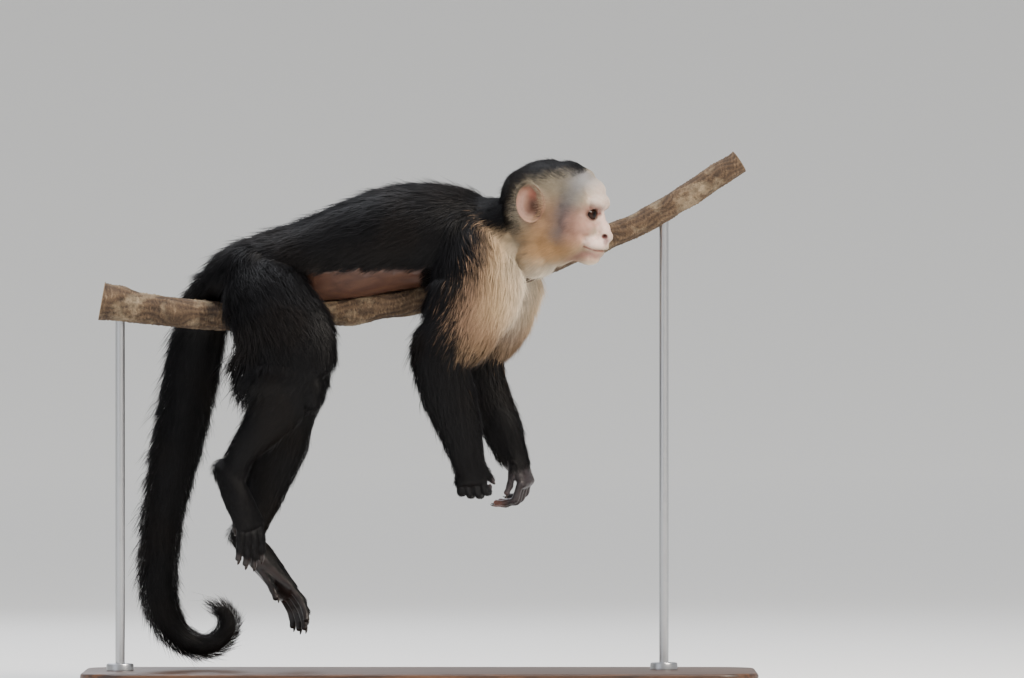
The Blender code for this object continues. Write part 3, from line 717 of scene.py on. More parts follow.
TAIL = (
    (-178, 6, 394, 21, 21), (-194, 15, 381, 23, 23), (-203, 26, 366, 25, 25), (-207, 34, 350, 26, 26),
    (-211, 37, 330, 27, 27), (-215, 38, 313, 27.5, 27.5), (-222, 38, 275, 27, 27),
    (-230, 37, 237, 25.5, 25.5), (-238, 36, 199, 23, 23), (-245, 35, 161, 20.5, 20.5),
    (-248.5, 34, 123, 19.5, 19.5), (-249, 33, 100, 18.8, 18.8), (-245, 32, 76, 17.5, 17.5),
    (-236, 31, 57, 15.8, 15.8), (-222, 30, 44, 14, 14), (-205, 29, 40, 13.2, 13.2),
    (-190, 28.5, 47, 12.6, 12.6), (-182.5, 28, 60, 12, 12), (-186, 27.5, 72, 10.4, 10.4),
    (-195, 27, 75.5, 7.6, 7.6),
)
TAIL_FLESH = (*TAIL[:-1], (-189.5, 27.2, 73.6, 9.6, 9.6))  # the tail's skin ends inside its last tuft
BODY_MASSES = (
    Mass((38, -24, 424), (40, 24, 40), 10), Mass((54, 22, 422), (38, 22, 38), 10),
    Mass((-156, -20, 396), (34, 24, 34), 25), Mass((-152, 20, 392), (34, 24, 34), 25),
    Mass((-150, -52, 314), (25, 17, 46), 2), Mass((-140, 48, 300), (24, 16, 40), 8),
    Mass((-126, -56, 297), (40, 27, 30)), Mass((-101, -58, 286), (17, 20, 26)),
    Mass((-124, 46, 283), (34, 24, 28)), Mass((-196, 10, 381), (22, 20, 24)),
    Mass((76, -22, 414), (34, 30, 36), -20), Mass((84, 8, 412), (34, 28, 34), -20),
    Mass((98, -22, 424), (28, 26, 26), -20),
)
BRANCH = (
    (-302, -15, 369, 18.5), (-280, -14, 365, 16.6), (-256, -13, 361, 14.9), (-209, -10, 356, 14.2),
    (-171, -7, 354, 13.8), (-123, -4, 355, 13.5), (-76, -2, 358, 13.3), (-38, 0, 364, 13.3),
    (0, 2, 370, 13.2), (57, 5, 383, 12.8), (104, 9, 400, 12.4), (152, 14, 419, 12.0),
    (209, 20, 443, 11.7), (266, 26, 477, 11.5), (304, 30, 502, 11.4),
)

HEAD_CENTRE = Vector((126, -31, 460))
HEAD_YAW = -15.0  # degrees; the face turns a little to the animal's right
HEAD = Matrix.Translation(HEAD_CENTRE * MM) @ Matrix.Rotation(math.radians(HEAD_YAW), 4, "Z")
HEAD_TURN = np.array(HEAD.to_3x3())
EYE_RADIUS = 8.2
EYE_CENTRE = (37.5, 13.5, -9)  # in head space, on the left


def eye_centre(side: Side) -> Vector:
    """The middle of an eyeball in head space, in millimetres."""
    x, y, z = EYE_CENTRE
    return Vector((x, side.value * y, z))


def eye_place(side: Side) -> Matrix:
    """From an eyeball's own space to the model's."""
    return HEAD @ Matrix.Translation(eye_centre(side) * MM)


# The head in its own space: +X out of the face, +Y to the animal's left, +Z to the crown.
HEAD_MASSES = (
    Mass((-3, 0, 6), (44.5, 33.5, 38)),  # brain case
    Mass((17, 0, 10), (28.4, 30, 32.4)),  # forehead
    Mass((36, 0, 12), (15.6, 20, 14), 12),  # brow of the forehead
    Mass((43.5, 0, 2), (11.2, 21, 9.5)),  # between the brows
    Mass((-16, 0, -10), (31, 33, 34)),  # back of the head
    Mass((8, 0, -28), (32, 27, 27), 6),  # jaws
    Mass((1, 0, -39), (25, 24, 20), 12),  # throat
    Mass((-14, 0, -46), (24, 24, 22), 12),  # root of the throat
    Mass((40, 0, -37.2), (14.8, 14.5, 12.6)),  # muzzle
    Mass((34.2, 0, -49), (13.8, 12, 9)),  # chin
    Mass((42.8, 0, -13), (8.6, 12, 14), -12),  # bridge of the nose
    Mass((49.2, 0, -22), (6.9, 9, 9), -30),  # slope of the nose
    Mass((51.6, 0, -30.4), (7.8, 9.4, 6.3)),  # tip of the nose
)
HEAD_PAIRS = (
    Mass((44.8, 11, -0.5), (8.2, 10.5, 5.6), -6),  # brow
    Mass((26, 20, -17), (14, 9.5, 13)),  # cheek bone
    Mass((36.6, 10.5, -23), (10.2, 11, 11)),  # below the eye
    Mass((15, 17, -31), (20, 10.5, 14), 8),  # cheek
    Mass((25, 22, 3), (16, 9, 15)),  # temple
    Mass((39.5, 8.6, -37), (12.2, 9, 7.8)),  # side of the muzzle
    Mass((49.3, 5.8, -31), (5, 4.4, 4.4)),  # wing of the nose
)


def head_space(points: Rows) -> Rows:
    """Points of the model's own space, in millimetres, seen from the head."""
    return (points - np.array(HEAD_CENTRE)) @ HEAD_TURN


@dataclass(frozen=True)
class Digit:
    """A finger or toe: its root, heading, back, bones, the bend at each joint, and its radius."""

    root: Rows
    heading: Rows
    back: Rows
    bones: Sequence[float]
    bends: Sequence[float]
    radius: float

    def joints(self) -> list[tuple[Rows, Rows]]:
        """Each joint's place, and the heading of the bone that leads to it."""
        hinge = Vector(self.heading).cross(Vector(self.back)).normalized()
        heading, place = Vector(self.heading), Vector(self.root)
        made = [(np.array(place), np.array(heading))]
        for bone, bend in zip(self.bones, self.bends):
            heading = Matrix.Rotation(math.radians(-bend), 3, hinge) @ heading
            place = place + heading * bone
            made.append((np.array(place), np.array(heading)))
        return made

    def loft(self) -> Loft:
        """The digit's flesh, fuller at its joints and at the pad of its tip."""
        joints = self.joints()
        stations = [(*self.root, self.radius * 1.05, self.radius)]
        for k in range(1, len(joints)):
            before, (place, _) = joints[k - 1][0], joints[k]
            thick = self.radius * (1 - 0.10 * k)
            middle = (before + place) / 2
            stations.append((*middle, thick * 0.97, thick * 0.95))
            stations.append((*place, thick * 1.06, thick * 1.04))
        hinge = np.cross(self.heading, self.back)
        return Loft(stations, tuple(hinge), sides=14, step=1.6)

    def nail_frame(self) -> Matrix:
        """The nail's place: +X to the tip and +Z off the digit's back."""
        place, heading = self.joints()[-1]
        along = Vector(heading)
        hinge = Vector(self.heading).cross(Vector(self.back)).normalized()
        up = hinge.cross(along).normalized()
        thick = self.radius * 0.7
        turn = Matrix((along, up.cross(along), up)).transposed().to_4x4()
        return Matrix.Translation((Vector(place) + up * thick * 0.62 + along * 0.4) * MM) @ turn


def squared(point: Point, back: Point) -> tuple[Rows, Rows]:
    """The directions to the tips and off the back of a hand or foot, at right angles."""
    ahead, off = unit(np.asarray(point, float)), np.asarray(back, float)
    return ahead, unit(off - ahead * (off @ ahead))


@dataclass(frozen=True)
class Hand:
    """The palm, four bent fingers and the thumb."""

    side: Side
    wrist: Point
    point: Point
    back: Point
    bends: Point
    palm: float
    size: float
    thumb: Point  # how far the thumb points along the hand, and away from it
    spread: tuple[Point, ...] = ((11.0, 0.92), (3.8, 1.06), (-3.6, 1.0), (-10.6, 0.82))

    def axes(self) -> tuple[Rows, Rows, Rows]:
        """The directions to the fingertips, off the back of the hand, and to the thumb's side."""
        point, back = squared(self.point, self.back)
        thumbward = np.cross(back, point) if self.side is Side.RIGHT else np.cross(point, back)
        return point, back, thumbward

    def beyond(self, points: Rows, low: float, high: float) -> Rows:
        """1 on the hand past high and 0 before low, both measured from the wrist to the fingertips.

        Args:
            points: Any places.
            low: Where the rise starts.
            high: Where it ends.

        Returns:
            A share for each point.
        """
        away = points - self.wrist
        near = fade(norms(away), 95, 85)
        return near * fade(away @ self.axes()[0], low, high)

    def digits(self) -> list[Digit]:
        """The fingers, then the thumb."""
        point, back, thumbward = self.axes()
        wrist = np.asarray(self.wrist, float)
        knuckles = wrist + point * self.palm
        made = []
        for across, length in self.spread:
            root = knuckles + thumbward * across - point * 3
            heading = unit(point + thumbward * across * 0.008)
            bones = [bone * length * self.size for bone in (19, 12, 9.5)]
            made.append(Digit(root, heading, back, bones, self.bends, 4.0))
        root = wrist + point * 9 + thumbward * 10
        reach, droop = self.thumb
        heading = unit(point * droop + thumbward * reach - back * 0.22)
        bones = [bone * self.size for bone in (13, 10, 7)]
        return [*made, Digit(root, heading, back, bones, (6, 14, 14), 4.2)]

    def lofts(self) -> list[Loft]:
        """The palm and the digits."""
        point, _, thumbward = self.axes()
        wrist = np.asarray(self.wrist, float)
        stations = [
            (*(wrist - point * 6), 10.0, 9.0), (*(wrist + point * 6), 11.5, 8.6),
            (*(wrist + point * 18), 13.7, 7.9), (*(wrist + point * self.palm), 14.3, 6.3),
        ]
        return [Loft(stations, tuple(thumbward)), *(digit.loft() for digit in self.digits())]


@dataclass(frozen=True)
class Foot:
    """The heel, sole, four toes and the grasping big toe."""

    side: Side
    sole: tuple[Point, ...]
    point: Point
    top: Point
    curl: Point
    hallux: tuple[Point, Point]  # its root and heading
    spread: tuple[Point, ...] = ((10.4, 0.92), (3.5, 1.06), (-3.6, 1.0), (-10.4, 0.86))

    def axes(self) -> tuple[Rows, Rows, Rows]:
        """The directions to the toes' tips, off the top of the foot, and to the big toe's side."""
        point, top = squared(self.point, self.top)
        return point, top, np.cross(top, point) * -self.side.value

    def digits(self) -> list[Digit]:
        """The toes, then the big toe."""
        point, top, inward = self.axes()
        ball = np.asarray(self.sole[-1][:3], float)
        made = []
        for across, length in self.spread:
            root = ball + inward * across - point * 4
            heading = unit(point + inward * across * 0.007)
            made.append(Digit(root, heading, top, [bone * length for bone in (19, 13, 9.5)], self.curl, 4.5))
        root, heading = (np.asarray(part, float) for part in self.hallux)
        return [*made, Digit(root, unit(heading), top, (16, 13, 9), (4, 8, 8), 4.9)]

    def lofts(self) -> list[Loft]:
        """The sole and the digits."""
        inward = self.axes()[2]
        sole = Loft(self.sole, tuple(inward), inset=(0.6, 0.2))
        return [sole, *(digit.loft() for digit in self.digits())]


HANDS = (
    Hand(
        Side.RIGHT, (45.5, -49, 226), (0.10, 0.04, -1), (-0.25, -0.97, 0), (24, 58, 44), 28, 0.88,
        (0.34, 0.9),
    ),
    Hand(
        Side.LEFT, (87, 43, 226), (0.42, 0, -0.90), (0.80, -0.42, 0.40), (46, 52, 16), 34, 1.04,
        (0.3, 0.95),
    ),
)
FEET = (
    Foot(
        Side.RIGHT,
        ((-186, -47, 213, 10, 10), (-180, -47, 200, 12, 14), (-173, -48, 182, 13.5, 14),
         (-166, -49, 168, 15, 11), (-161, -50, 157, 15.5, 8)),
        (0.11, 0, -1), (0.55, -0.80, 0.22), (2, 10, 8), ((-172, -41, 184), (0.04, 0.36, -0.9)),
    ),
    Foot(
        Side.LEFT,
        ((-174, 44, 150, 9.5, 10.5), (-164, 44, 138, 11, 14), (-151, 43, 122, 13, 13.5),
         (-137, 42, 104, 14.5, 10.5), (-127, 41, 91, 15.5, 8)),
        (0.58, 0, -0.81), (0.64, 0.58, 0.46), (0, 20, 16), ((-154, 37, 116), (0.60, -0.34, -0.74)),
    ),
)

# --- Markings ---

BELLY_FLOOR = 345  # every bare place above this height is the belly's


def outline_distance(x: Rows, z: Rows, outline: Sequence[Point]) -> Rows:
    """Distance inside a closed outline in a side view, negative outside it.

    Args:
        x: Each point's place along the view.
        z: Its height.
        outline: The outline's corners.

    Returns:
        One distance for each point.
    """
    inside = np.zeros(len(x), bool)
    nearest = np.full(len(x), np.inf)
    corners = np.asarray(outline, float)
    for (x0, z0), (x1, z1) in zip(corners, np.roll(corners, -1, axis=0)):
        crossed = (z0 > z) != (z1 > z)
        inside ^= crossed & (x < (x1 - x0) * (z - z0) / (z1 - z0 + 1e-9) + x0)
        wide, high = x1 - x0, z1 - z0
        share = np.clip(((x - x0) * wide + (z - z0) * high) / (wide**2 + high**2), 0, 1)
        nearest = np.minimum(nearest, np.hypot(x - x0 - share * wide, z - z0 - share * high))
    return np.where(inside, nearest, -nearest)


@dataclass(frozen=True)
class LidOpening:
    """The almond opening between an eye's lids, about the eyeball's centre."""

    wide: float = 6.9
    high: float = 5.2
    tilt: float = 5.0  # degrees that its outer corner drops
    turn: float = 26.0  # degrees that it faces outwards

    def outline(self, around: float, side: Side) -> tuple[float, float]:
        """How far across and up the opening's edge lies, at an angle round it."""
        pinch = 1 - 0.3 * math.cos(around) ** 4 - 0.14 * max(0.0, math.sin(around))
        drop = -0.5 * max(0.0, -side.value * math.cos(around)) ** 3
        return math.cos(around) * self.wide, math.sin(around) * self.high * pinch + drop

    def spin(self, side: Side) -> Matrix:
        """The opening's own turn on one side of the head."""
        spin = Matrix.Rotation(math.radians(side.value * self.turn), 4, "Z")
        return spin @ Matrix.Rotation(math.radians(-side.value * self.tilt), 4, "X")

    def rim(self, reach: float, grow: float = 1.0) -> tuple[float, ...]:
        """Points round the left eye's opening, this far from the eyeball's centre."""
        line: list[float] = []
        for step in range(25):
            across, up = (part * grow for part in self.outline(step * math.tau / 24, Side.LEFT))
            ahead = math.sqrt(max(0.0, reach**2 - across**2 - up**2))
            line.extend(self.spin(Side.LEFT) @ Vector((ahead, across, up)) + Vector(EYE_CENTRE))
        return tuple(line)

    def tool(self, side: Side, place: Matrix) -> Piece:
        """The solid that cuts the opening.

        Args:
            side: The eye.
            place: From the eyeball's space to the model's.

        Returns:
            The cutter.
        """
        bm = bmesh.new()
        deep = EYE_RADIUS * 1.6 * MM
        bmesh.ops.create_cone(bm, cap_ends=True, segments=64, radius1=1.0, radius2=1.12, depth=deep)
        for vert in bm.verts:
            grow = vert.co.xy.length
            across, up = self.outline(math.atan2(vert.co.y, vert.co.x), side)
            vert.co.xy = Vector((across, up)) * grow * MM
        upright = Matrix(((0, 0, 1), (1, 0, 0), (0, 1, 0))).to_4x4()
        shift = Matrix.Translation((EYE_RADIUS * 1.25 * MM, 0, 0))
        bmesh.ops.transform(bm, matrix=place @ self.spin(side) @ shift @ upright, verts=bm.verts)
        bmesh.ops.recalc_face_normals(bm, faces=bm.faces)
        return object_of(bm, "opening")


LIDS = LidOpening()


def region_reach(points: Rows, centre: Point, halves: Point, step: float = 0.0) -> Rows:
    """How far points lie from the middle of a region, which is the same on both sides of the head.

    Args:
        points: Places in head space.
        centre: An oval's centre, or a band's points one after another.
        halves: The oval's half sizes, or the band's half width alone.
        step: How finely a band's line is rounded, or 0 for straight lengths.

    Returns:
        0 in the region's middle and 1 at its edge.
    """
    both = points * (1, 0, 1) + np.abs(points) * (0, 1, 0)
    if len(halves) == 1:
        path = np.reshape(centre, (-1, 3))
        return capsule_distance(both, smoothed(path, step) if step else path) / halves[0]
    return norms((both - centre) / halves)


@dataclass(frozen=True)
class Patch:
    """A soft-edged patch of colour: an oval or a band."""

    code: str
    centre: Point
    halves: Point
    strength: float = 1.0
    soft: float = 0.35  # the width of its edge beside its size

    def share(self, points: Rows) -> Rows:
        """How much of the patch's colour each point takes."""
        reach = region_reach(points, self.centre, self.halves)
        return fade(reach, 1 + self.soft, 1 - self.soft) * self.strength


@dataclass(frozen=True)
class Markings:
    """The animal's colours, which its skin and coat share, with some painted light and shade on the face,
    ears and far hand.
    """

    black: str = "#0b0a0c"
    brown_black: str = "#15100d"
    pale_head: str = "#9d8f79"
    cream: str = "#c8ab84"
    buff: str = "#8b705a"
    white: str = "#ece4d4"
    bare: str = "#1d1716"
    bare_light: str = "#322826"
    belly: str = "#5c4032"
    belly_dark: str = "#4c332a"
    # painted light: the far hand's skin is lighter than the near hand's, standing in for the light it
    # catches
    far_hand: str = "#3d3538"
    finger_tip: str = "#6d4438"
    dusky: str = "#7e684f"
    head_pale: tuple[Point, ...] = (
        (70, 60), (36, 60), (33, 33), (30, 28.5), (15, 26.5), (1.5, 23.5), (-12, 21), (-20, 17.5), (-25, 12),
        (-28, 5), (-29, -9), (-25, -21), (-20, -33), (-20, -80), (80, -80),
    )
    body_pale: tuple[Point, ...] = (
        (62, 436), (56, 412), (47, 392), (40, 372), (38, 345), (48, 326), (60, 319), (73, 322),
        (86, 332), (170, 332), (170, 400), (130, 420), (106, 432), (90, 437), (80, 434), (72, 438),
    )
    head_patches: tuple[Patch, ...] = (
        Patch("#857b68", (0, 30, 20), (34, 26, 15), 0.75, 0.6),
        Patch("#b58a5c", (6, 28, -38), (28, 24, 22), 0.85, 0.6),
        Patch("#957054", (4, 30, -12), (17, 14, 17), 0.7, 0.7),
        Patch("#8a6c62", (20, 26, -16), (11, 14, 18), 0.6, 0.7),
        # a blue-grey band down the temple: partly grey hair, partly painted shade
        Patch("#63666d", (34, 16, 29, 31, 24, 18, 26, 27, 2, 19, 29, -16, 13, 29, -26), (8.5,), 0.66, 0.9),
        # painted sheen: a grey-blue sheen on the side of the forehead
        Patch("#95979b", (42, 14, 22), (14, 18, 9), 0.6, 0.8),
        Patch("#d3c3b7", (50, 6, 8), (12, 18, 13), 0.9, 0.7),
        Patch("#a47b6b", (32, 22, -20), (13, 11, 17), 0.85, 0.6),
        Patch("#e2c6ba", (51, 0, -18), (12, 12, 16), 0.95, 0.5),
        # the upper lip's pink-white skin, brightened further as a painted highlight
        Patch("#ead0c5", (46, 10, -35.5), (12, 12, 6.5), 0.9, 0.5),
        Patch("#8a5f57", (36, 8, -50), (16, 15, 6), 0.85, 0.5),
        Patch("#b7a08e", (30, 6, -60), (22, 14, 6.5), 0.8, 0.6),
        # painted highlight: the brow ridge above the eye is brightened
        Patch("#e6d3c6", (48, 12, 3.5), (8, 12, 5), 0.6, 0.7),
        # painted shadow: brown shade round the eye under the brow's overhang
        Patch("#845a4f", (43, 14, -5), (9, 13, 5.5), 0.8, 0.7),
        Patch("#b08a7e", (43, 14, -19), (9, 9, 4), 0.6, 0.7),
    )
    ear_patches: tuple[Patch, ...] = (
        Patch("#7b5344", (-14, 36, 0), (16, 14, 22), 0.9, 0.2),
        Patch("#9b7d70", (-20, 38, -3), (6, 9, 14), 0.7, 0.6),
        # painted shadow: red-brown shade inside the ear's top front
        Patch("#814636", (-9, 35, 9), (5, 8, 6), 0.75, 0.7),
        # painted shade: the ear's bowl and canal are darkened where the hollow would be shaded
        Patch("#43291e", (-11, 34, -4), (6.5, 9, 9), 0.85, 0.6),
        Patch("#2a1812", (-5.5, 33, -9), (2.6, 7, 3.2), 0.95, 0.5),
        Patch("#a3856f", (-13, 37, -15), (7, 9, 4.5), 0.6, 0.6),
    )
    skin_patches: tuple[Patch, ...] = (
        # the nostril's reddish lining, darkened as painted shade in the opening
        Patch("#3f130f", (52.3, 6.2, -30.4), (3.4, 4.0, 2.9), 0.97, 0.4),
        # painted shadow in the groove below the nostril
        Patch("#84605d", (53.5, 5.5, -35.0), (2.8, 3.6, 4.0), 0.75, 0.6),
        Patch("#4a2d27", LIDS.rim(EYE_RADIUS + 1.2, 1.06), (1.3,), 0.85, 0.7),
        # the inner corner's reddish skin, widened and darkened as painted shadow towards the nose
        Patch("#5b3029", (47.6, 6.6, -8.4, 45.6, 8.8, -9.3), (2.3,), 0.9, 0.7),
        # painted shadow: the brow's shade above the upper lid
        Patch("#6b473f", (46, 12, -4.2), (5, 9, 2.4), 0.6, 0.7),
    )
    # the lips' own colour, deepened as painted shade in the mouth's crease
    lip_code: str = "#7d4b41"

    def pale(self, points: Rows) -> Rows:
        """Distance inside the pale parts of the head, chest and shoulders, negative in the black."""
        head = head_space(points)
        on_head = outline_distance(head[:, 0], head[:, 2], self.head_pale)
        x, y, z = points.T
        forward = 27 * fade(y, 10, 40) * fade(z, 425, 375)
        on_body = outline_distance(x - forward, z, self.body_pale)
        away = capsule_distance(head, ((-8, 0, -4), (34, 0, -2), (44, 0, -30)))
        flat = np.abs(head[:, 1])
        crown = fade(flat, 19, 8) * fade(head[:, 0], 37, 31) * fade(head[:, 2], 20, 26)
        edge = np.maximum(on_head - 60 * fade(away, 48, 60), on_body) - 12 * crown
        ragged = 0.2 + 0.8 * fade(np.maximum(flat, away - 24), 16, 30)
        return edge + (2.4 * ripple(points, 13, 11) + 1.2 * ripple(points, 5, 12)) * ragged

    def base(self, points: Rows, jitter: Rows | float = 0.0, soft: float = 2.0) -> Rows:
        """The colours of the coat.

        Args:
            points: Places on the skin.
            jitter: Moves the edge between pale and black, for a tuft of its own mind.
            soft: Half the width of that edge.

        Returns:
            Linear colours.
        """
        head = head_space(points)
        x, y, z = points.T
        brown = fade(ripple(points, 60, 5), -0.2, 0.9) * 0.6
        dark = tinted(linear(self.black), self.brown_black, brown)
        front = fade(x - 27 * fade(y, 10, 40), 46, 88) * fade(z, 335, 372)
        body = tinted(linear(self.buff), self.cream, front)
        chest = fade(x, 64, 94) * fade(np.abs(y + 8), 60, 18) * fade(z, 428, 402)
        body = tinted(body, self.white, chest * 0.8)
        body = tinted(body, self.dusky, fade(z, 352, 330) * 0.7)
        face = linear(self.pale_head)
        for patch in self.head_patches:
            face = tinted(face, patch.code, patch.share(head))
        on_head = fade(head[:, 2], -64, -44) * fade(head[:, 0], -44, -30)
        pale = mix(body, face, on_head)
        return mix(dark, pale, fade(self.pale(points) + jitter, -soft, soft))

    def skin(self, points: Rows, bare: Rows) -> Rows:
        """The colours of the skin.

        Args:
            points: Places on the skin.
            bare: How bare each place on the hands, feet and belly is.

        Returns:
            Linear colours.
        """
        head = head_space(points)
        colours = self.base(points)
        for patch in (*self.ear_patches, *self.skin_patches):
            colours = tinted(colours, patch.code, patch.share(head))
        # painted shade along the mouth's crease, over the lips' darker skin
        colours = tinted(colours, self.lip_code, MOUTH.share(head) * 0.9)
        flush = fade(ripple(points, 5, 22), -0.8, 1.4) * fade(head[:, 0], 26, 38)
        flush = flush * 0.4 * fade(head[:, 2], 30, 10)
        colours = mix(colours, colours * (0.88, 0.66, 0.62), flush)
        mottle = fade(ripple(points, 9, 21), -1, 1)
        hands = tinted(linear(self.bare), self.bare_light, mottle * 0.6)
        x, y, z = points.T
        # painted light: the far hand's back and fingers are made lighter, as if lit
        far = fade(x, 60, 75) * fade(z, 235, 222)
        hands = tinted(hands, self.far_hand, far * 0.7)
        tips = fade(x, 86, 74) * fade(z, 190, 182) * (x > 0) * (y > 0)
        hands = tinted(hands, self.finger_tip, tips * 0.75)
        belly = tinted(linear(self.belly), self.belly_dark, mottle)
        return mix(colours, np.where((z > BELLY_FLOOR)[:, None], belly, hands), bare)

    def coat(self, points: Rows, seed: int) -> Rows:
        """The colour of each tuft, a little different from the next."""
        rng = np.random.default_rng(seed)
        far = capsule_distance(head_space(points), ((-8, 0, -6), (42, 0, -26)))
        far = fade(far, 44, 60)
        colours = self.base(points, rng.normal(0, 1, len(points)) * (2.0 + 6.0 * far), 8.0)
        return colours * (1 + rng.uniform(-1, 1, len(points)) * (0.16 + 0.09 * far))[:, None]


MARKINGS = Markings()

# --- The lie of the coat ---


@dataclass(frozen=True)
class FlowLine:
    """A line that the coat follows: x, y, z, its reach, and the length and lift of tufts there."""

    part: str
    points: Sequence[Point]

    @staticmethod
    def along(part: str, stations: Sequence[Point], length: Point, lift: Point) -> "FlowLine":
        """A line through a loft's stations, with lengths and lifts from its first to its last.

        Args:
            part: The piece of the coat.
            stations: The loft's stations.
            length: Tufts' lengths at its ends.
            lift: Their lifts there.

        Returns:
            The line.
        """
        rows = []
        for i, (x, y, z, wide, deep) in enumerate(stations):
            share = i / (len(stations) - 1)
            long = length[0] + (length[1] - length[0]) * share
            high = lift[0] + (lift[1] - lift[0]) * share
            rows.append((x, y, z, (wide + deep) / 2, long, high))
        return FlowLine(part, rows)

    def read(self, points: Rows) -> tuple[Rows, Rows, Rows]:
        """What the line says at each point.

        Args:
            points: Places on the skin.

        Returns:
            Each point's weight for this line, its direction, and its tuft's length and lift.
        """
        rows = np.asarray(self.points, float)
        best = np.full(len(points), np.inf)
        heading = np.zeros((len(points), 3))
        sizes = np.zeros((len(points), 2))
        tangents = unit(np.gradient(rows[:, :3], axis=0))
        for i in range(len(rows) - 1):
            share, away = beside(points, rows[i, :3], rows[i + 1, :3])
            there = mix(rows[i, 3:], rows[i + 1, 3:], share)
            reach = norms(away) / there[:, 0]
            nearer = reach < best
            best = np.where(nearer, reach, best)
            heading[nearer] = mix(tangents[i], tangents[i + 1], share)[nearer]
            sizes[nearer] = there[nearer, 1:]
        return 1 / (0.02 + best**6), heading, sizes


def flow_lines() -> list[FlowLine]:
    """Every line of the body's coat; the head has its own lie."""
    spine = (
        (92, -12, 456, 30, 10, 4), (60, -3, 446, 42, 15, 4.8), (0, 0, 440, 50, 18, 5),
        (-60, 0, 430, 48, 19, 5), (-120, 0, 414, 44, 19, 5.2), (-165, 0, 402, 38, 18, 5.5),
        (-194, 2, 386, 27, 17, 5.5),
    )
    front = (
        (118, -28, 420, 28, 10, 3.5), (94, -16, 408, 30, 16, 5.5), (64, -4, 398, 36, 20, 6),
        (20, 0, 394, 38, 15, 5), (-90, 0, 388, 36, 12, 4), (-150, 0, 384, 34, 15, 6),
    )
    lines = [FlowLine("back", spine), FlowLine("chest", front)]
    for side in Side:
        tag = side.word
        lines.append(FlowLine.along(f"arm_{tag}", ARM[side], (20, 10), (5.5, 2.8)))
        lines.append(FlowLine.along(f"leg_{tag}", (*THIGH[side], *SHANK[side]), (20, 8), (5.6, 2.2)))
    for hand in HANDS:
        point = hand.axes()[0]
        rows = [(*(np.array(hand.wrist) + point * far), 12, long, lift)
                for far, long, lift in ((0, 9.5, 2.4), (14, 6.5, 1.3), (27, 2.8, 0.5), (60, 1.8, 0.25))]
        lines.append(FlowLine(f"arm_{hand.side.word}", rows))
    for foot in FEET:
        lines.append(FlowLine.along(f"leg_{foot.side.word}", foot.sole, (9, 5), (2.6, 0.9)))
    lines.append(FlowLine.along("tail", TAIL, (17, 10), (7.2, 6.6)))
    return lines


FACE_BARE = (  # centres and halves, in head space
    ((45, 14, -9.5), (12, 8.8, 7)),  # round the eyes
    ((57, 0, -30), (12, 11, 8)),  # the nose
    ((46, 0, -43.5), (17, 20, 3.6)),  # the lips
)


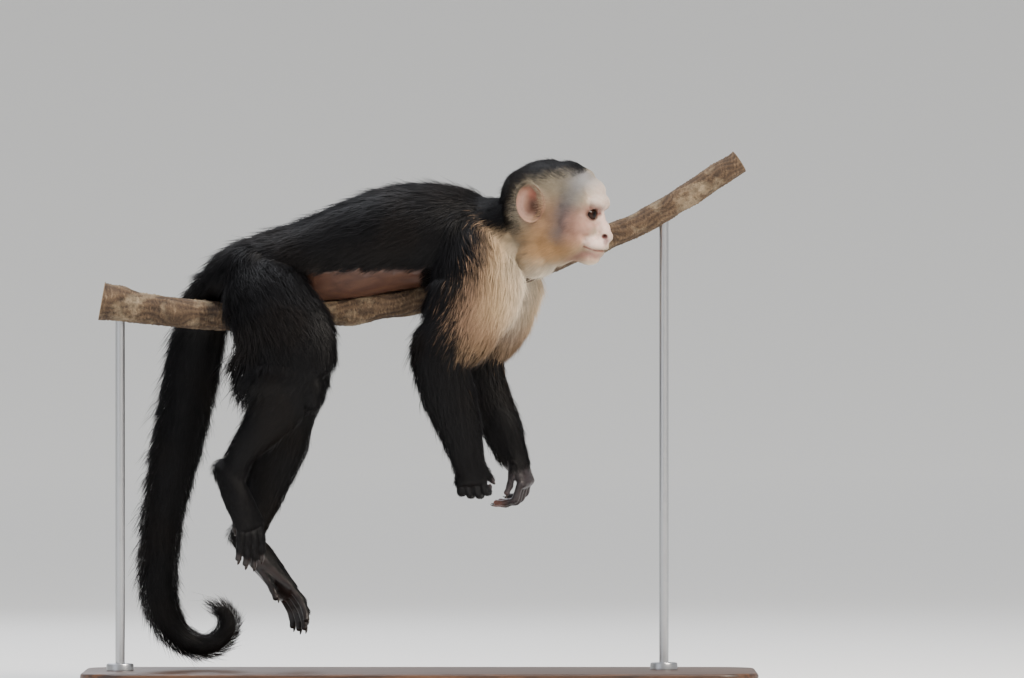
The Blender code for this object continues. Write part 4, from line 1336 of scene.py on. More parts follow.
class Lie:
    """Where the coat grows, and which way, how long and how high it lies."""

    @staticmethod
    def belly(points: Rows, normals: Rows) -> Rows:
        """1 on the nearly bare strip along the belly."""
        x, y, z = points.T
        ragged = z + 2.0 * ripple(points, 14, 31)
        under = fade(ragged, 405, 398) * fade(normals[:, 2], 0.25, -0.15)
        under = under * fade(z, 358, 366)
        ends = fade(x, -112, -100) * fade(x, 14, 0)
        return under * ends * fade(np.maximum(-y, 1.6 * y), 44, 34)

    @staticmethod
    def digits(points: Rows) -> Rows:
        """1 on the hands beyond the knuckles and on the toes."""
        share = np.zeros(len(points))
        for hand in HANDS:
            share = np.maximum(share, hand.beyond(points, hand.palm - 14, hand.palm + 2))
        for foot in FEET:
            away = points - np.array(foot.sole[-1][:3])
            near = fade(norms(away), 75, 65)
            share = np.maximum(share, near * fade(away @ foot.axes()[0], -12, 3))
        return share

    @staticmethod
    def bare_ends(points: Rows) -> Rows:
        """1 on the digits' last bones, and on the back of the hand that catches the light."""
        share = np.zeros(len(points))
        for part in (*HANDS, *FEET):
            for digit in part.digits():
                (last, _), (tip, _) = digit.joints()[-2:]
                start = (last + tip) / 2
                near = capsule_distance(points, (start, tip + (tip - last) * 0.4))
                share = np.maximum(share, fade(near, 5.5, 4.0))
        return np.maximum(share, 0.7 * HANDS[1].beyond(points, 6, 22))

    @staticmethod
    def bare(points: Rows, normals: Rows) -> Rows:
        """1 wherever skin shows: the belly, digits, palms and soles."""
        share = np.maximum(Lie.belly(points, normals), Lie.bare_ends(points))
        for hand in HANDS:
            palm = fade(normals @ hand.axes()[1], -0.1, -0.45)
            share = np.maximum(share, hand.beyond(points, -2, 8) * palm)
        for foot in FEET:
            sole = np.array(foot.sole)[:, :3]
            point, top, _ = foot.axes()
            near = fade(capsule_distance(points, np.vstack([sole, sole[-1] + point * 45])), 27, 23)
            near = near * fade((points - sole[0]) @ point, 2, 14)
            share = np.maximum(share, near * fade(normals @ top, -0.05, -0.4))
        return share

    @staticmethod
    def head(points: Rows) -> tuple[Rows, Rows, Rows, Rows]:
        """The lie of the head's own short coat.

        Args:
            points: Places on the skin.

        Returns:
            How much of the head's lie holds there, the direction, the length and lift, and the
            share of tufts that grow.
        """
        head = head_space(points)
        x, y, z = head.T
        flat = np.abs(y)
        away = unit(head - np.array([60, 0, -14])) + np.array([-0.45, 0, 0])
        away[:, 2] -= 0.35 * fade(z, 8, -22)
        away[:, 1] *= 1 - 0.6 * fade(z, 22, 36)
        heading = unit(away) @ HEAD_TURN.T
        face = fade(x, 20, 40)
        muzzle = fade(x, 26, 38) * fade(z, -6, -16)
        cap = fade(z, 20, 34)
        jaw = fade(z, -24, -50)
        brow = fade(x, 19, 38) * fade(z, -2, 8)
        long = 6.8 - 4.0 * face + 1.6 * cap * (1 - brow) + 2.5 * jaw * (1 - face) - 1.3 * muzzle
        lift = 1.5 - 1.05 * face + 1.1 * cap * (1 - brow) + 0.9 * jaw * (1 - face) - 0.25 * muzzle
        long, lift = long + brow * (3.6 - long).clip(None, 0), lift + brow * (0.7 - lift)
        grow = 1 - 0.45 * muzzle
        for centre, halves in FACE_BARE:
            grow *= fade(region_reach(head, centre, halves), 0.85, 1.15)
        plate = np.hypot((x + 13.5) / 13.4, z / 18.4)
        low = 4 * fade(z, -12, -19)
        on_ear = fade(flat, 33.5 + low, 35.5 + low) * fade(plate, 1.4, 1.25)
        on_ear = np.maximum(on_ear, fade(flat, 28.5, 30.5) * fade(plate, 0.95, 0.8))
        rim = fade(plate, 0.74, 0.94) * fade(z - 0.9 * x, 2, 18)
        rim = np.maximum(rim, fade(x, -11, -4) * fade(plate, 0.5, 0.85))
        grow *= 1 - 0.85 * on_ear * (1 - rim)
        out = np.stack([x + 13.5, y * 0.15, z], axis=1)
        out = unit(unit(out) + np.array([-0.7, 0, 0.15])) @ HEAD_TURN.T
        heading = unit(mix(heading, out, on_ear * rim * fade(x, -4, -8)))
        ear_long = 2.4 + 5.4 * rim
        ear_lift = 0.2 + 1.3 * rim
        sizes = mix(np.stack([long, lift], axis=1), np.stack([ear_long, ear_lift], axis=1), on_ear)
        middle = capsule_distance(head, ((-6, 0, -3), (24, 0, 2), (40, 0, -26)))
        here = fade(middle, 57, 49) * fade(x, -46, -34)
        here = np.maximum(here, on_ear)
        return here, heading, sizes, grow

    @staticmethod
    def read(points: Rows, normals: Rows) -> tuple[Rows, Rows, Rows, Rows]:
        """The coat at points on the skin.

        Args:
            points: The places.
            normals: The skin's normals there.

        Returns:
            Directions along the skin, tufts' lengths and lifts, the share of tufts that grow, and
            the number of the flow line that each point follows most.
        """
        lines = flow_lines()
        total = np.zeros(len(points))
        heading, sizes = np.zeros((len(points), 3)), np.zeros((len(points), 2))
        best, chosen = np.zeros(len(points)), np.zeros(len(points), int)
        for number, line in enumerate(lines):
            weight, way, size = line.read(points)
            total += weight
            heading += way * weight[:, None]
            sizes += size * weight[:, None]
            chosen = np.where(weight > best, number, chosen)
            best = np.maximum(best, weight)
        heading, sizes = heading / total[:, None], sizes / total[:, None]
        trunk = chosen < 2
        heading[:, 2] -= 0.32 * np.abs(normals[:, 1]) * trunk
        here, head_way, head_sizes, grow = Lie.head(points)
        heading = mix(unit(heading), head_way, here)
        sizes = mix(sizes, head_sizes, here)
        grow = 1 - (1 - grow) * here
        behind = fade(-normals[:, 0], 0.45, 0.95) * fade(points[:, 2], 392, 375)
        sizes *= (1 + 0.3 * behind * (1 - here))[:, None]
        x, y, z = points.T
        fringe = fade(-normals[:, 0], 0.2, 0.8) * fade(y, -25, -38)
        fringe *= fade(x, -120, -140) * fade(z, 262, 285) * fade(z, 352, 335)
        heading = mix(heading, np.array([-0.75, 0.0, -0.66]), fringe)
        sizes += fringe[:, None] * (9.0, 7.0)
        tip = fade((heading * normals).sum(axis=1), 0.35, 0.9) * fade(z, 95, 85) * (x < -180)
        sizes[:, 1] += tip * sizes[:, 0] * 0.8
        for side in Side:
            knee = norms(points - np.array(SHANK[side][0][:3]))
            sizes *= (1 - 0.36 * fade(knee, 50, 24))[:, None]
        bare = Lie.bare(points, normals)
        grow = grow * (1 - fade(bare, 0.15, 0.9))
        sizes *= (1 - 0.5 * bare)[:, None]
        heading -= normals * (heading * normals).sum(axis=1)[:, None]
        chosen = np.where(here > 0.5, len(lines), chosen)
        return unit(heading), sizes, grow, chosen


# --- The skin ---


@dataclass(frozen=True)
class Stamp:
    """One sculpting move in head space: a soft oval or band that pushes the skin."""

    centre: Point
    halves: Point
    push: float  # outwards, in millimetres
    way: Point | None = None  # the push's direction, or none for the skin's own normal

    def move(self, points: Rows, normals: Rows) -> Rows:
        """How far each point moves, in head space."""
        reach = region_reach(points, self.centre, self.halves, 1.0)
        weight = np.exp(-((reach * 1.35) ** 2))[:, None] * self.push
        if self.way is None:
            return normals * weight
        way = np.tile(np.asarray(self.way, float), (len(points), 1))
        way[:, 1] *= np.sign(points[:, 1])
        return way * weight


@dataclass(frozen=True)
class Crease:
    """A crease round the muzzle: its height at angles from the face's middle, its width and depth."""

    line: Sequence[Point]  # degrees from straight ahead, height in head space
    width: float
    push: float
    middle: float = 30.0  # how far forward the centre of the angles is
    half: float = 17.5  # how far to the side it runs

    def share(self, points: Rows) -> Rows:
        """How deep in the crease each point lies, from 0 to 1."""
        flat = np.abs(points[:, 1])
        angle = np.degrees(np.arctan2(flat, points[:, 0] - self.middle))
        angles, heights = np.array(self.line, float).T
        away = (points[:, 2] - np.interp(angle, angles, heights)) / self.width
        ends = fade(angle, angles[-1] + 8, angles[-1]) * fade(flat, self.half + 2, self.half - 1)
        return np.exp(-(away**2)) * ends

    def move(self, points: Rows, normals: Rows) -> Rows:
        """How far each point moves, in head space."""
        return normals * (self.share(points) * self.push)[:, None]


MOUTH = Crease(((0, -44.2), (26, -44.0), (41, -43.1), (56, -41.8), (74, -39.6)), 0.9, -2.2)

SCULPT = (
    # The hollow of the temple.
    Stamp((34, 25, 2), (8, 6, 10), -0.8),
    # The lids: a raised rim, the fold above it, the bag below, and the inner corner.
    Stamp(LIDS.rim(EYE_RADIUS + 1.5, 1.1), (1.5,), 0.55),
    Stamp((48.6, 7, -3.2, 47, 12.5, -2.0, 42.5, 19, -2.6, 38, 22.4, -6.2), (1.0,), -0.9),
    Stamp((46.4, 8.5, -17.2, 44.6, 13, -18.6, 40.8, 18, -18.0), (0.9,), -0.5),
    # The nose: its wings, nostrils and the groove to the lip.
    Stamp((51, 8.0, -27.8), (3.6, 2.6, 2.2), 0.7),
    Stamp((49.6, 8.4, -31.4), (1.8, 2.6, 2.8), 0.6),
    Stamp((52.8, 8.2, -30.3), (2.7, 3.6, 2.2), 3.6, (-0.3, -1.0, 0.2)),
    Stamp((54.0, 6.2, -34.6, 54, 5.4, -38.4), (1.6,), -0.9),
    Stamp((57.6, 0, -36, 57, 0, -41), (0.9,), -0.6),
    Stamp((47.6, 10.4, -26.4, 46.4, 11.4, -30, 47.0, 11.0, -33.6), (1.5,), -0.8),
    # The lips, the muzzle's pads and the chin.
    Crease(((0, -40.8), (30, -40.6), (56, -38.6), (76, -36.2)), 1.9, 0.7),
    Crease(((0, -47.6), (30, -47.2), (56, -44.8), (70, -42.6)), 1.8, 0.8, half=15.0),
    MOUTH,
    Crease(((0, -51.6), (30, -51.4), (50, -50.6)), 1.8, -0.7, half=13.0),
    Stamp((34.5, 17.6, -38.6), (2.6, 2.6, 2.8), -0.9),
    Stamp((43, 13.4, -34, 37.5, 16.6, -33.0), (2.4,), 0.7),
    Stamp((45, 12.5, -27.4, 39.5, 16.8, -28.6, 33.5, 19.6, -32), (1.9,), -0.8),
    # Lines across the nose's root and the forehead.
    Stamp((51.4, 0, -8.8, 48.5, 5, -8.2), (0.8,), -0.25),
    Stamp((54, 0, 9.5, 50, 10, 10, 43, 19, 10.5), (0.9,), -0.22),
    Stamp((52, 0, 15.5, 48, 10, 16, 41, 19, 16.5), (0.9,), -0.18),
)


@dataclass
class Ear:
    """A rounded ear: a thin plate with a rolled helix, an inner ridge and a bowl."""

    height: float = 39.0
    width: float = 29.0
    centre: Point = (-13.5, 35.5, 0)  # in head space, on the left
    splay: float = -22.0  # degrees; the back edge stands off the head
    lean: float = -6.0
    wall: float = 2.1

    def place(self, side: Side) -> Matrix:
        """From the left ear's own space, which faces +Y, to the model's."""
        back, out, high = self.centre
        turn = Matrix.Rotation(math.radians(self.splay * side.value), 4, "Z")
        turn = turn @ Matrix.Rotation(math.radians(self.lean), 4, "Y")
        middle = Matrix.Translation(Vector((back, side.value * out, high)) * MM)
        return HEAD @ middle @ turn @ Matrix.Diagonal((1, side.value, 1, 1))

    def relief(self, share: float, turn: float) -> float:
        """The height of the ear's folds, at a share of the way out and a turn over the top."""
        front = math.exp(-(((turn + math.pi) % math.tau - math.pi + 2.5) / 0.75) ** 2)
        helix = 2.6 * math.exp(-(((share - 0.9) / 0.12) ** 2)) * (1 - front)
        groove = -1.4 * math.exp(-(((share - 0.7) / 0.11) ** 2))
        ridge = 2.4 * math.exp(-(((share - 0.5) / 0.12) ** 2)) * max(0.0, math.cos(turn * 0.75))
        bowl = -4.0 * math.exp(-((share / 0.42) ** 2))
        return 3.6 * share**2 + helix + groove + ridge + bowl

    def add_to(self, bm: BMesh) -> None:
        """Adds both ears."""
        for side in Side:
            whole = bmesh.new()
            self.add_plate(whole)
            bmesh.ops.transform(whole, matrix=self.place(side), verts=whole.verts)
            bmesh.ops.recalc_face_normals(whole, faces=whole.faces)
            shape = bpy.data.meshes.new("ear")
            whole.to_mesh(shape)
            whole.free()
            bm.from_mesh(shape)
            bpy.data.meshes.remove(shape)

    def add_plate(self, bm: BMesh) -> None:
        """Adds the folded plate as a closed shell."""
        bmesh.ops.create_grid(bm, x_segments=72, y_segments=20, size=1.0)
        for vert in bm.verts:
            turn, share = vert.co.x * math.pi, (vert.co.y + 1) / 2
            reach = 1.0 - 0.05 * math.cos(2 * turn) - 0.10 * max(0.0, -math.sin(turn)) ** 2
            reach += 0.06 * math.exp(-(((turn - 2.3) / 0.5) ** 2))
            x = -0.5 * self.width * reach * share * math.cos(turn)
            z = 0.5 * self.height * reach * share * math.sin(turn)
            vert.co = Vector((x, self.relief(share, turn), z)) * MM
        bmesh.ops.remove_doubles(bm, verts=bm.verts, dist=1e-6)
        bmesh.ops.recalc_face_normals(bm, faces=bm.faces)
        bmesh.ops.solidify(bm, geom=bm.faces, thickness=self.wall * MM)


@dataclass
class Hide:
    """The animal's skin: one closed mesh under the coat, bare on the face, ears, palms and belly."""

    ear: Ear = field(default_factory=Ear)
    voxel: float = 0.92
    body_triangles: int = 84_000
    fine_triangles: int = 104_000
    trunk_depth: float = 6.4
    limb_depth: Point = (6.5, 2.2)
    tail_depth: Point = (7.5, 4.2)
    cap_depth: float = 2.8
    lid: float = 1.15  # how thick the lids are
    socket_room: float = 0.12  # between the eyeball and its socket
    belly_sag: float = 10.0  # how far the loose skin of the belly hangs towards the branch
    nodes: tuple[str, ...] = ("trunk", "neck", "head", "tail_base", "tail_middle", "tail_end")
    paired: tuple[str, ...] = ("upper_arm", "forearm", "hand", "thigh", "shank", "foot", "ear")
    piece: Piece = None

    def build(self) -> Piece:
        """Fuses the flesh, sculpts the face, opens the lids and paints the markings."""
        bm = bmesh.new()
        self.add_head(bm)
        self.add_body(bm)
        self.ear.add_to(bm)
        for part in (*HANDS, *FEET):
            for loft in part.lofts():
                loft.add_to(bm)
        self.piece = object_of(bm, "capuchin_skin")
        fuse = self.piece.modifiers.new("fuse", "REMESH")
        fuse.mode = "VOXEL"
        fuse.voxel_size = self.voxel * MM
        settle(self.piece)
        self.soften()
        self.refine()
        self.sculpt()
        self.thin()
        self.open_lids()
        self.paint()
        return self.piece

    def add_body(self, bm: BMesh) -> None:
        """Adds the trunk, neck, limbs and tail, shrunk by the coat's depth."""
        deep = self.trunk_depth
        lofts = [Loft(TRUNK, inset=(deep, deep)), Loft(NECK, inset=(deep, self.cap_depth + 1))]
        lofts.append(Loft(TAIL_FLESH, inset=self.tail_depth, sides=22))
        for side in Side:
            lofts += [Loft(ARM[side], inset=self.limb_depth), Loft(SHANK[side], inset=self.limb_depth)]
            lofts.append(Loft(THIGH[side], inset=(deep, deep)))
        for mass in BODY_MASSES:
            mass.add_to(bm, Matrix.Identity(4), -deep)
        for loft in lofts:
            loft.add_to(bm)

    def add_head(self, bm: BMesh) -> None:
        """Adds the head's masses and the swell of each eye under its lids."""
        for mass in HEAD_MASSES:
            mass.add_to(bm, HEAD)
        for mass in HEAD_PAIRS:
            for side in Side:
                x, y, z = mass.centre
                Mass((x, side.value * y, z), mass.halves, mass.turn).add_to(bm, HEAD)
        for side in Side:
            swell = EYE_RADIUS + 1.5
            Mass(eye_centre(side), (swell, swell, swell)).add_to(bm, HEAD)

    def coat_depth(self, head: Rows) -> Rows:
        """How far the head's skin lies under the coat's tips, at points in head space."""
        x, y, z = head.T
        cap = fade(z, 24, 38) * fade(x, 44, 30)
        nape = fade(x, -14, -34)
        sides = fade(x, 24, 8) * fade(z, -66, -44)
        throat = fade(z, -48, -58) * fade(x, 40, 22)
        depth = np.maximum.reduce([cap * self.cap_depth, nape * self.cap_depth, sides * 2.6, throat * 3.2])
        ear = norms((head * [1, 0, 1] - [-13, 0, -1]) / [19, 1, 23])
        clear = fade(np.abs(y), 31, 34.5) * fade(ear, 1.1, 0.9)
        return 0.35 + (depth - 0.35).clip(0) * (1 - clear)

    def near_head(self, points: Rows) -> Rows:
        """1 on the head and 0 well away from it."""
        head = head_space(points)
        return fade(norms(head - np.array([4, 0, -8])), 74, 60)

    def soften(self) -> None:
        """Smooths the fused flesh, most on the body and least on the face and digits."""
        mesh = self.piece.data
        points, edges = points_of(mesh), rows_of(mesh.edges, "vertices", 2, np.int32)
        near = self.near_head(points)
        ends = fade(norms(points - np.array(TAIL[-1][:3])), 15, 8)
        low = np.flatnonzero(points[:, 2] < 245)
        for digit in (digit for part in (*HANDS, *FEET) for digit in part.digits()):
            reach = capsule_distance(points[low], np.array([place for place, _ in digit.joints()]))
            ends[low] = np.maximum(ends[low], fade(reach, digit.radius + 5, digit.radius + 2))
        fine = np.maximum(near, ends)
        points = eased(points, edges, [0.6, -0.62] * 4, np.ones(len(points)))
        points = eased(points, edges, [0.6] * 34, (1 - fine))
        head = head_space(points)
        skull = near * fade(head[:, 0], 46, 30) * fade(np.abs(head[:, 1]), 36, 32)
        points = eased(points, edges, [0.6] * 10, skull * 0.8)
        points = eased(points, edges, [0.5] * 16, near * 0.8)
        put_points(mesh, points)
        normals = normals_of(mesh)
        depth = self.coat_depth(head_space(points)) * near * fade(points[:, 0], 84, 100)
        points = points - normals * depth[:, None]
        belly = Lie.belly(points, normals)
        points = points + normals * (belly * (self.trunk_depth - 1.5))[:, None]
        sag = fade(points[:, 0], 10, -70) * fade(np.abs(points[:, 1]), 34, 8) * self.belly_sag
        points[:, 2] -= belly * sag
        put_points(mesh, eased(points, edges, [0.4] * 2, 1 - fine))

    def refine(self) -> None:
        """Splits the face's edges, so that its folds and lids are fine."""
        bm = bmesh.new()
        bm.from_mesh(self.piece.data)
        x, y, z = head_space(np.array([vert.co for vert in bm.verts]) / MM).T
        inside = (x > 24) & (z > -62) & (z < 26) & (np.abs(y) < 30)
        edges = [edge for edge in bm.edges if inside[edge.verts[0].index] and inside[edge.verts[1].index]]
        bmesh.ops.subdivide_edges(bm, edges=edges, cuts=1, use_grid_fill=True, smooth=0.6)
        bmesh.ops.triangulate(bm, faces=[face for face in bm.faces if len(face.verts) > 4])
        bm.to_mesh(self.piece.data)
        bm.free()

    def sculpt(self) -> None:
        """Pushes the face's folds, nose and mouth."""
        mesh = self.piece.data
        points = points_of(mesh)
        near = np.flatnonzero(self.near_head(points) > 0)
        for stamp in SCULPT:
            head = head_space(points[near])
            normals = normals_of(mesh)[near] @ HEAD_TURN
            points[near] += stamp.move(head, normals) @ HEAD_TURN.T
            put_points(mesh, points)
        edges = rows_of(mesh.edges, "vertices", 2, np.int32)
        keep = np.zeros(len(points))
        keep[near] = 0.3
        points = eased(points, edges, [0.5] * 2, keep)
        put_points(mesh, self.cover_eyes(points))

    def cover_eyes(self, points: Rows) -> Rows:
        """Keeps the lids' skin clear of the eyeballs, so that the lids have thickness."""
        for side in Side:
            away = points - (np.array(eye_centre(side)) @ HEAD_TURN.T + np.array(HEAD_CENTRE))
            reach = norms(away)
            push = (EYE_RADIUS + self.lid - reach).clip(0) * (reach > EYE_RADIUS * 0.6)
            points = points + unit(away) * push[:, None]
        return points

    def thin(self) -> None:
        """Brings the mesh under the limit: first the body, then the face, ears, hands and feet."""
        for most, body in ((self.body_triangles, True), (self.fine_triangles, False)):
            mesh = self.piece.data
            points = points_of(mesh)
            head = head_space(points)
            fine = fade(head[:, 0], 8, 26) * self.near_head(points)
            fine = np.maximum(fine, fade(np.abs(head[:, 1]), 31, 35) * self.near_head(points))
            fine = np.maximum(fine, Lie.digits(points)) > 0.5
            kept = fine if body else ~fine
            mesh.calc_loop_triangles()
            held = sum(kept[face.vertices[0]] for face in mesh.loop_triangles)
            group = self.piece.vertex_groups.new(name="held")
            group.add(np.flatnonzero(kept).tolist(), 1.0, "REPLACE")
            thin = self.piece.modifiers.new("thin", "DECIMATE")
            thin.ratio = min(1.0, (held + most) / len(mesh.loop_triangles))
            thin.vertex_group = group.name
            thin.invert_vertex_group = True
            settle(self.piece)
            self.piece.vertex_groups.clear()

    def open_lids(self) -> None:
        """Cuts an almond opening and a socket for each eye."""
        for side in Side:
            bm = bmesh.new()
            place, socket = eye_place(side), (EYE_RADIUS + self.socket_room) * MM
            bmesh.ops.create_uvsphere(bm, u_segments=48, v_segments=32, radius=socket, matrix=place)
            cutter = object_of(bm, "socket")
            self.boolean(cutter, LIDS.tool(side, place), "UNION")
            self.boolean(self.piece, cutter, "DIFFERENCE")
        self.piece.data.shade_smooth()

    def boolean(self, piece: Piece, tool: Piece, action: str) -> None:
        """Joins or cuts with a tool, which is then removed.

        Args:
            piece: What is changed.
            tool: The other solid.
            action: "UNION" or "DIFFERENCE".
        """
        cut = piece.modifiers.new("cut", "BOOLEAN")
        cut.object = tool
        cut.operation = action
        cut.solver = "EXACT"
        settle(piece)
        bpy.data.objects.remove(tool)

    def paint(self) -> None:
        """Stores the markings, with painted shade on the skin under the coat, and the shine."""
        mesh = self.piece.data
        points, normals = points_of(mesh), normals_of(mesh)
        bare = Lie.bare(points, normals)
        _, sizes, grow, _ = Lie.read(points, normals)
        pale = fade(MARKINGS.pale(points), -8, 2)
        # painted shade: skin under long fur is darkened, so the gaps between tufts read as shadow
        shade = 1 - (0.34 - 0.16 * pale) * fade(sizes[:, 0], 4, 8) * grow
        colour_attribute(mesh, "Coat", MARKINGS.skin(points, bare) * shade[:, None])
        head = head_space(points)
        shiny = fade(head[:, 0], 30, 42) * self.near_head(points)
        value_attribute(mesh, "Dullness", 0.62 - 0.14 * shiny - 0.26 * bare)
        SKIN.dress(self.piece)
        names = [f"{name}_{side.word}" for name in self.paired for side in Side]
        hand_over(self.piece, (*self.nodes, *names))


# --- The coat ---


@dataclass
class Coat:
    """The fur: thousands of thin tufts in a few joined pieces, laid over the skin."""

    seed: int = 4
    per_mm2: tuple[Point, Point] = ((2.0, 7.0, 12.0, 20.0), (8.0, 4.2, 1.9, 1.3))
    most_tufts: int = 33_200  # in a piece, of six triangles each
    in_all: int = 248_000
    patch: float = 0.0015  # half the size of a tuft's place on the bake map
    clump: float = 1.3  # how far tips lean together, in millimetres
    guards: float = 0.14  # the share of longer tufts that stand out of the coat
    roundness: float = 0.55  # how round each tuft looks in the light; 0 is as flat as the skin
    ease: int = 14  # how often the lie is smoothed over the skin

    def build(self, skin: Piece) -> list[Piece]:
        """Grows the coat on the skin."""
        field = self.lie_field(skin.data)
        roots, normals, heading, sizes, chosen = self.scatter(skin.data, field)
        parts = [line.part for line in flow_lines()] + ["head"]
        names = np.array(parts)[chosen]
        names = np.where((names == "back") & (roots[:, 0] < -62), "rump", names)
        names = np.where((names == "chest") & (roots[:, 0] < -20), "rump", names)
        names = np.where((names == "head") & (head_space(roots)[:, 0] > 14), "face", names)
        rng = np.random.default_rng(self.seed)
        made = []
        for name in sorted(set(names)):
            own = np.flatnonzero(names == name)
            log.info("%s wants %d tufts", name, len(own))
            if len(own) > self.most_tufts:
                own = np.sort(rng.permutation(own)[: self.most_tufts])
            made.append(self.grow(name, roots[own], normals[own], heading[own], sizes[own]))
        return made

    def lie_field(self, mesh: Mesh) -> tuple[Rows, Rows, Rows, Rows]:
        """The coat's lie at each point of the skin, smoothed so that parts run into each other."""
        edges = rows_of(mesh.edges, "vertices", 2, np.int32)
        heading, sizes, grow, chosen = Lie.read(points_of(mesh), normals_of(mesh))
        heading = eased(heading, edges, [0.6] * self.ease, np.ones(len(heading)))
        sizes = eased(sizes, edges, [0.6] * self.ease, 1 - 0.7 * fade(grow, 0.9, 0.5))
        return unit(heading), sizes, grow, chosen

    def scatter(self, mesh: Mesh, field: Sequence[Rows]) -> Sequence[Rows]:
        """Picks the tufts' roots on the skin.

        Args:
            mesh: The skin.
            field: The lie at each of its points.

        Returns:
            Places, normals, headings, sizes and flow lines, a row for each tuft.
        """
        mesh.calc_loop_triangles()
        points, normals = points_of(mesh), normals_of(mesh)
        corners = self.in_order(points, rows_of(mesh.loop_triangles, "vertices", 3, np.int32))
        heading, sizes, grow, chosen = field
        a, b, c = (points[corners[:, k]] for k in range(3))
        area = norms(np.cross(b - a, c - a)) / 2
        want = area * np.interp(sizes[corners, 0].mean(axis=1), *self.per_mm2) * grow[corners].mean(axis=1)
        pale = fade(MARKINGS.pale(points), -14, 0) * fade(sizes[:, 0], 8, 12)
        want *= (0.86 + 0.95 * pale)[corners[:, 0]]
        want *= min(1.0, self.in_all / want.sum())
        rng = np.random.default_rng(self.seed)
        count = np.floor(want + rng.random(len(want))).astype(int)
        owner = corners[np.repeat(np.arange(len(count)), count)]
        u, v = rng.random((2, len(owner)))
        over = u + v > 1
        u, v = np.where(over, 1 - u, u), np.where(over, 1 - v, v)
        weights = np.stack([1 - u - v, u, v], axis=1)[:, :, None]
        roots, facing, way, size = (
            (rows[owner] * weights).sum(axis=1) for rows in (points, normals, heading, sizes)
        )
        facing = unit(facing)
        way = unit(way - facing * (way * facing).sum(axis=1)[:, None])
        clear = self.clear_of_branch(roots, 0.2)
        return [rows[clear] for rows in (roots, facing, way, size, chosen[owner[:, 0]])]

    def in_order(self, points: Rows, corners: Rows) -> Rows:
        """Sorts the skin's triangles by their places, because the lids' cuts can leave any order.

        Args:
            points: The skin's points.
            corners: The three point numbers of each triangle.

        Returns:
            The same triangles in their fixed order.
        """
        rank = np.empty(len(points), int)
        rank[np.lexsort(points.T)] = np.arange(len(points))
        lowest = rank[corners].argmin(axis=1)[:, None]
        corners = np.take_along_axis(corners, (lowest + np.arange(3)) % 3, axis=1)
        return corners[np.lexsort(rank[corners].T)]

    def clear_of_branch(self, points: Rows, room: float) -> Rows:
        """Which points lie outside the branch by at least this much.

        Args:
            points: Any places.
            room: The least distance from the bark.

        Returns:
            True where a point is clear.
        """
        path = smoothed(BRANCH, 6.0)
        clear = np.ones(len(points), bool)
        for start, end in zip(path, path[1:]):
            away = beside(points, start[:3], end[:3])[1]
            clear &= norms(away) > start[3] + room
        return clear

    def pull(self, roots: Rows, size: float, seed: int) -> Rows:
        """A gathering direction at each root, towards the middle of the nearest lock.

        Args:
            roots: The tufts' places.
            size: How wide a lock is.
            seed: Picks the locks.

        Returns:
            A direction for each root.
        """
        here = ripple(roots, size, seed)
        step = 0.4
        slope = [(ripple(roots + step * axis, size, seed) - here) for axis in np.eye(3)]
        return np.stack(slope, axis=1) * size / step

    def grow(
        self, name: str, roots: Rows, normals: Rows, heading: Rows, sizes: Rows
    ) -> Piece:
        """Makes one piece of the coat.

        Args:
            name: The part of the body.
            roots: Each tuft's place on the skin.
            normals: The skin's normals there.
            heading: The lie of the coat.
            sizes: Tufts' lengths and lifts.

        Returns:
            The piece.
        """
        rng = np.random.default_rng(self.seed + len(name) + len(roots))
        count = len(roots)
        long = sizes[:, 0] * rng.uniform(0.72, 1.18, count)
        guard = rng.random(count) < self.guards * fade(sizes[:, 0], 5, 15)
        long *= np.where(guard, 1.2, 1.0)
        high = sizes[:, 1] * (0.9 + 0.22 * ripple(roots, 16, 51)) * rng.uniform(0.55, 1.12, count)
        high *= np.where(guard, rng.uniform(1.2, 2.1, count), 1.0)
        width = (0.1 + 0.026 * sizes[:, 0]) * rng.uniform(0.75, 1.25, count)
        pale = fade(MARKINGS.pale(roots), -14, 0)
        width *= 1 - 0.25 * pale
        across = np.cross(heading, normals)
        sway = 0.12 * ripple(roots, 30, 52) + 0.08 * ripple(roots, 9, 53) + rng.normal(0, 0.08, count)
        heading = unit(heading + across * sway[:, None])
        across = unit(np.cross(heading, normals))
        lean = self.pull(roots, 7.0, 54)
        lean -= normals * (lean * normals).sum(axis=1)[:, None]
        most = self.clump * np.minimum(1.0, long / 12)
        lean *= (most / np.maximum(1.0, norms(lean)))[:, None]
        places = []
        for share, gather in ((0.0, 0.0), (0.42, 0.3), (1.0, 1.0)):
            rise = high * (1 - (1 - share) ** 2) - 0.4 * (1 - share)
            ahead = heading * (long * share)[:, None]
            places.append(roots + ahead + normals * rise[:, None] + lean * gather)
        clear = self.clear_of_branch(places[1], 0.0) & self.clear_of_branch(places[2], -1.5)
        root, middle, tip = (place[clear] for place in places)
        half = across[clear] * (width[clear] / 2)[:, None]
        ridge = normals[clear] * (width[clear] * 0.45)[:, None]
        points = np.stack([root, middle - half, middle + ridge, middle + half, tip], axis=1).reshape(-1, 3)
        piece = add_object(f"coat_{name}", bpy.data.meshes.new(f"coat_{name}"))
        self.fill(piece.data, points)
        coat = MARKINGS.coat(root, self.seed + len(name))
        # painted shade and highlight: each tuft is darker at its root, as if shaded deep in the coat, and
        # lighter at its tip, as if catching the light
        shade = np.tile([0.6, 0.95, 1.0, 0.95, 1.1], (len(root), 1))
        shade[:, 0] = np.interp(sizes[clear, 0], (3, 12), (0.92, 0.62)) * (1 + 0.3 * pale[clear])
        colour_attribute(piece.data, "Coat", (coat[:, None, :] * shade[:, :, None]).reshape(-1, 3))
        aside = self.roundness * np.interp(sizes[clear, 0], (4, 9), (1.5, 1.0))
        facing, aside = normals[clear], across[clear] * aside[:, None]
        turned = np.stack([facing, facing - aside, facing, facing + aside, facing], axis=1)
        piece.data.normals_split_custom_set_from_vertices(unit(turned.reshape(-1, 3)))
        self.map_bake(piece.data, name, root)
        FUR.dress(piece)
